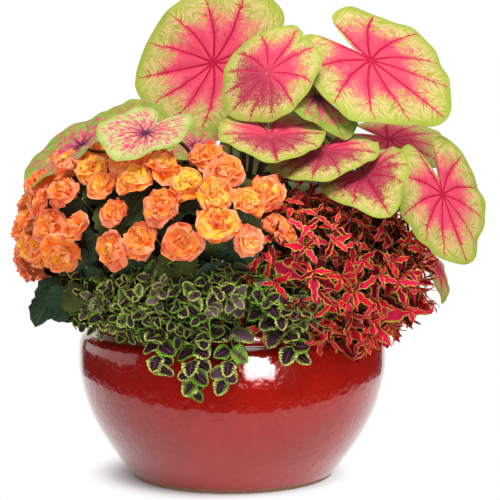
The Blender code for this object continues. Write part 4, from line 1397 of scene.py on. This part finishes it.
class PLANTING_OT_purple_coleus(bpy.types.Operator):
    """Small-leaved purple coleus, mounded in front and behind, with trails over the rim"""

    bl_idname = "planting.purple_coleus"
    bl_label = "Purple Coleus"

    def execute(self, context):
        settings = context.scene.planting_coleus
        finish = purple_finish(settings)
        grid = BladeGrid(12, 3)
        rng = np.random.default_rng(21)
        jobs = (
            ("front", PURPLE_MOUND, (-46, 120), "purple_coleus_foliage"),
            ("back", BACK_MOUND, (-60, 110), "purple_coleus_foliage_back"),
        )
        for index, (word, mound, turns, node) in enumerate(jobs):
            for layer, (grow, spacing) in enumerate(((-0.008, settings.spacing), (-0.028, 0.034))):
                tips, outwards = scattered(mound, spacing, turns, 22 + 7 * index + layer, grow, LIP_SHOWS)
                if word == "front":
                    tips, outwards = with_extra(tips, outwards, PURPLE_SHOOTS, layer)
                axes = unit(outwards + 0.25 * rng.normal(size=tips.shape))
                made = shoot_leaves(tips, axes, 3, 0.0080, 0.028, (20, 84), 23 + layer)
                origin, along, face, lengths, age, shoot = made
                local = toothed_leaf(grid, lengths, 0.42, 0.075, 0.18, 0.22, 0.38, 24 + layer, 0.60)
                tone = rng.uniform(size=len(tips))[shoot] + 0.05 * rng.uniform(size=len(shoot))
                # second value: the leaf's age, plus 0.6 on the deeper layer; the finish uses it to darken
                # lower and deeper leaves as painted shade
                vary = np.stack([tone % 1.0, 0.8 * age + 0.6 * layer], axis=1)
                add_blades(
                    f"purple_coleus_{word}_{layer + 1}", grid, local, origin, along,
                    square_face(along, face), finish,
                    [node] if layer == 0 else (), vary,
                )
                if layer == 0:
                    shoot_stems(
                        f"purple_coleus_{word}_stems", tips, axes, np.full(len(tips), 0.05), 0.0011,
                        stem_finish(),
                    )
        origin, along, face, lengths, age, _ = trail_leaves(PURPLE_TRAILS, 0.0150, 0.036, 31)
        local = toothed_leaf(grid, lengths, 0.44, 0.075, 0.18, 0.22, 0.38, 32, 0.60)
        vary = np.stack([rng.uniform(size=len(age)), 0.3 * age], axis=1)
        nodes = [f"purple_coleus_trail_{number + 1}" for number in range(len(PURPLE_TRAILS))]
        add_blades(
            "purple_coleus_trails", grid, local, origin, along, square_face(along, face), finish,
            nodes, vary,
        )
        return {"FINISHED"}


class PLANTING_OT_red_coleus(bpy.types.Operator):
    """Narrow-leaved red coleus on the right, with trails over the rim"""

    bl_idname = "planting.red_coleus"
    bl_label = "Red Coleus"

    def execute(self, context):
        settings = context.scene.planting_coleus
        finish = red_finish(settings)
        grid = BladeGrid(9, 3)
        rng = np.random.default_rng(51)
        for layer, (grow, spacing) in enumerate(((-0.006, 0.0275), (-0.028, 0.034))):
            tips, outwards = scattered(RED_MOUND, spacing, (-62, 118), 52 + layer, grow)
            tips, outwards = with_extra(tips, outwards, RED_SHOOTS, layer)
            axes = unit(outwards + (0, 0, 0.15) + 0.25 * rng.normal(size=tips.shape))
            made = shoot_leaves(tips, axes, 4, 0.0090, 0.046, (22, 105), 53 + layer)
            origin, along, face, lengths, age, shoot = made
            lowness = np.clip((0.40 - origin[:, 2]) / 0.13, 0, 1)
            lengths = lengths * (0.72 + 0.45 * lowness)
            along = unit(along - (0, 0, 1.0) * ((0.35 + 0.5 * age) * (0.35 + 0.65 * lowness))[:, None])
            local = toothed_leaf(grid, lengths, 0.170, 0.10, 0.28, 0.42, 0.45, 54 + layer, lobes=0.28)
            tone = rng.uniform(size=len(tips))[shoot] + 0.25 * rng.uniform(size=len(shoot))
            # second value: the leaf's age, plus 0.6 on the deeper layer; the finish uses it to darken lower
            # and deeper leaves as painted shade
            vary = np.stack([tone % 1.0, 0.85 * age + 0.6 * layer], axis=1)
            add_blades(
                f"red_coleus_{layer + 1}", grid, local, origin, along, square_face(along, face), finish,
                ["red_coleus_foliage"] if layer == 0 else (), vary,
            )
            if layer == 0:
                shoot_stems(
                    "red_coleus_stems", tips, axes, np.full(len(tips), 0.05), 0.0012, stem_finish(),
                )
        origin, along, face, lengths, age, _ = trail_leaves(RED_TRAILS, 0.0080, 0.032, 61)
        local = toothed_leaf(grid, lengths, 0.180, 0.10, 0.28, 0.42, 0.45, 62, lobes=0.28)
        vary = np.stack([rng.uniform(size=len(age)), 0.3 * age], axis=1)
        nodes = [f"red_coleus_trail_{number + 1}" for number in range(len(RED_TRAILS))]
        add_blades(
            "red_coleus_trails", grid, local, origin, along, square_face(along, face), finish,
            nodes, vary,
        )
        return {"FINISHED"}


# ---- stage --------------------------------------------------------------------------------------

# The clean round of the floor lies this far to the left of the pot's axis.
FLOOR_SHIFT = 0.020


def area_light(name, place, target, size, power):
    """A rectangular lamp at a place, turned to its target."""
    lamp = bpy.data.lights.new(name, "AREA")
    lamp.shape = "RECTANGLE"
    lamp.size, lamp.size_y = size
    lamp.energy = power
    obj = bpy.data.objects.new(name, lamp)
    bpy.context.scene.collection.objects.link(obj)
    obj.location = place
    obj.rotation_euler = (Vector(target) - Vector(place)).to_track_quat("-Z", "Y").to_euler()
    return obj


def oval_wall(turns, heights, inside, ragged=0.0):
    """A strip of an upright oval wall round the pot, turn 0 in front, closer in by `inside`; its
    foot and top wander up and down by about `ragged`."""
    turn = np.radians(np.linspace(turns[0], turns[1], 481))
    x = (0.60 - inside) * np.sin(turn)
    y = 0.315 - (0.70 - inside) * np.cos(turn)
    rows = []
    for z in heights:
        line = np.stack([x, y, 0 * x + z], axis=-1)
        line[:, 2] += ragged * (0.8 * waves(line, 28.0, 5, 2) + 1.1 * waves(line, 110.0, 6, 2))
        rows.append(line)
    return np.stack(rows)


def reflected_sheet(name, corners, colour, strength, faded=0.0):
    """A sheet that only reflections see, from a grid of corners (rows, columns, 3). It is streaky,
    and darkens over `faded` inwards from its foot and sides, if that isn't zero."""
    rows, columns, _ = corners.shape
    mesh = bpy.data.meshes.new(name)
    mesh.from_pydata(corners.reshape(-1, 3).tolist(), [], grid_faces(rows, columns, False).tolist())
    finish = Finish(name, roughness=1.0, specular_ior_level=0.0, emission_strength=strength)
    finish.feed("Base Color", (0.0, 0.0, 0.0))
    finish.feed("Emission Color", colour)
    if faded:
        low, high = corners.min(axis=(0, 1)), corners.max(axis=(0, 1))
        x, y, z = finish.parts(finish.place())
        streaks = finish.noise(finish.joined(x * 12.0, y, z * 45.0), 1.0, 3.0, 0.6)
        sides = finish.step(x, low[0], low[0] + faded) * finish.step(x, high[0], high[0] - 0.6 * faded)
        lit = sides * finish.step(z, low[2], low[2] + faded) + 1.1 * (streaks - 0.5)
        finish.feed("Emission Color", finish.mix(finish.step(lit, 0.10, 0.75), (0.0, 0.0, 0.0), colour))
    mesh.materials.append(finish.material)
    obj = bpy.data.objects.new(name, mesh)
    bpy.context.scene.collection.objects.link(obj)
    obj.visible_camera = False
    obj.visible_diffuse = False
    obj.visible_shadow = False
    obj.visible_transmission = False
    obj.visible_volume_scatter = False


class PLANTING_OT_stage(bpy.types.Operator):
    """White floor, soft studio light and camera"""

    bl_idname = "planting.stage"
    bl_label = "Stage"

    def execute(self, context):
        settings = context.scene.planting_stage
        self.floor(settings)
        self.lights(settings)
        self.world(context, settings)
        self.camera(context, settings)
        context.scene.view_settings.view_transform = "Standard"
        return {"FINISHED"}

    def floor(self, settings):
        """A round white floor whose far edge melts into the white backdrop."""
        points, quads = lathe(np.array([(1.5, 0.0), (1.2, 0.0), (0.6, 0.0), (1e-4, 0.0)]), 64)
        mesh = bpy.data.meshes.new("studio_floor")
        mesh.from_pydata((points - (0, 0, 0.0004)).tolist(), [], quads.tolist())
        finish = Finish("studio_floor", roughness=0.9, specular_ior_level=0.0)
        finish.feed("Base Color", settings.floor)
        x, y, _ = finish.parts(finish.place())
        x = x + FLOOR_SHIFT
        far = finish.step((x * x + y * y) ** 0.5, 0.128, 0.206)
        white = finish.node("ShaderNodeEmission", None, {"Color": (1.0, 1.0, 1.0), "Strength": 1.0})
        near = Value(finish, finish.shader.outputs[0])
        both = finish.node("ShaderNodeMixShader", None, {0: far, 1: near, 2: white})
        finish.tree.links.new(both.socket, finish.tree.nodes["Material Output"].inputs["Surface"])
        mesh.materials.append(finish.material)
        floor = bpy.data.objects.new("studio_floor", mesh)
        bpy.context.scene.collection.objects.link(floor)

    def lights(self, settings):
        area_light("key_softbox", (0.20, -1.20, 1.90), (0, 0, 0.25), (0.8, 0.6), settings.key)
        # the dark room round the table, nearest in front: above its foot the glaze mirrors it
        curtain = oval_wall((-108, 108), (0.0, 0.80), 0.0, 0.014)
        reflected_sheet("dark_curtain", curtain, (0.012, 0.010, 0.010), 1.0)
        # a dim window in it, which streaks the left shoulder
        window = oval_wall((-94, -36), (0.165, 0.300), 0.01, 0.016)
        reflected_sheet("dim_window", window, (1.0, 0.95, 0.93), 1.05)
        # the dark ceiling, which keeps dark leaves dark where they would mirror a white room
        x, y = np.meshgrid(np.linspace(-6.0, 6.0, 2), np.linspace(-6.0, 6.0, 2))
        reflected_sheet("dark_ceiling", np.stack([x, y, 2.4 + 0 * x], axis=-1), (0.012, 0.010, 0.010), 1.0)
        # the softbox as the glaze mirrors it on the right of its shoulder
        x, z = np.meshgrid(np.linspace(0.030, 0.200, 3), np.array((0.146, 0.42)))
        reflected_sheet("softbox_card", np.stack([x, -0.365 + 0 * z, z], axis=-1), (1, 1, 1), 20.0, 0.022)

    def world(self, context, settings):
        """Even room light; camera and reflection rays see the white backdrop."""
        world = bpy.data.worlds.new("studio_world")
        context.scene.world = world
        world.use_nodes = True
        nodes, links = world.node_tree.nodes, world.node_tree.links
        room = nodes["Background"]
        room.inputs["Color"].default_value = (1.0, 1.0, 1.0, 1.0)
        room.inputs["Strength"].default_value = settings.fill
        white = nodes.new("ShaderNodeBackground")
        white.inputs["Color"].default_value = (1.0, 1.0, 1.0, 1.0)
        white.inputs["Strength"].default_value = 1.0
        path = nodes.new("ShaderNodeLightPath")
        seen = nodes.new("ShaderNodeMath")
        seen.operation = "MAXIMUM"
        links.new(path.outputs["Is Camera Ray"], seen.inputs[0])
        links.new(path.outputs["Is Glossy Ray"], seen.inputs[1])
        both = nodes.new("ShaderNodeMath")
        both.operation = "MAXIMUM"
        links.new(seen.outputs[0], both.inputs[0])
        links.new(path.outputs["Is Transmission Ray"], both.inputs[1])
        mixed = nodes.new("ShaderNodeMixShader")
        links.new(both.outputs[0], mixed.inputs[0])
        links.new(room.outputs[0], mixed.inputs[1])
        links.new(white.outputs[0], mixed.inputs[2])
        links.new(mixed.outputs[0], nodes["World Output"].inputs["Surface"])

    def camera(self, context, settings):
        data = bpy.data.cameras.new("camera")
        data.lens = settings.lens
        data.sensor_width = 36.0
        camera = bpy.data.objects.new("camera", data)
        context.scene.collection.objects.link(camera)
        camera.location = (0.0, -2.412, 0.5505)
        camera.rotation_euler = (math.radians(90 - 5.06), 0.0, math.radians(-0.634))
        context.scene.camera = camera


# ---- add-on -------------------------------------------------------------------------------------


PIECES = (
    PLANTING_OT_stage,
    PLANTING_OT_pot,
    PLANTING_OT_soil,
    PLANTING_OT_caladium,
    PLANTING_OT_begonia_flowers,
    PLANTING_OT_begonia_leaves,
    PLANTING_OT_purple_coleus,
    PLANTING_OT_red_coleus,
)
SETTINGS = {
    "planting_pot": PotSettings,
    "planting_caladium": CaladiumSettings,
    "planting_begonia": BegoniaSettings,
    "planting_coleus": ColeusSettings,
    "planting_stage": StageSettings,
}


class PLANTING_PT_panel(bpy.types.Panel):
    """Lists the pieces of the planting"""

    bl_idname = "PLANTING_PT_panel"
    bl_label = "Potted Coleus Planting"
    bl_space_type = "VIEW_3D"
    bl_region_type = "UI"
    bl_category = "Planting"

    def draw(self, context):
        for piece in PIECES:
            self.layout.operator(piece.bl_idname)
        for name, group in SETTINGS.items():
            box = self.layout.box()
            box.label(text=group.__name__.replace("Settings", ""))
            for key in group.__annotations__:
                box.prop(getattr(context.scene, name), key)


def register():
    for group in SETTINGS.values():
        bpy.utils.register_class(group)
    for piece in PIECES:
        bpy.utils.register_class(piece)
    bpy.utils.register_class(PLANTING_PT_panel)
    for name, group in SETTINGS.items():
        setattr(bpy.types.Scene, name, bpy.props.PointerProperty(type=group))


def unregister():
    for name in SETTINGS:
        delattr(bpy.types.Scene, name)
    for known in (PLANTING_PT_panel, *PIECES, *SETTINGS.values()):
        bpy.utils.unregister_class(known)


def main():
    for obj in list(bpy.data.objects):
        if obj.type in ("MESH", "LIGHT", "CAMERA") and "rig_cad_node" not in obj:
            bpy.data.objects.remove(obj)
    register()
    for piece in PIECES:
        module, name = piece.bl_idname.split(".")
        getattr(getattr(bpy.ops, module), name)()


if __name__ == "__main__":
    main()
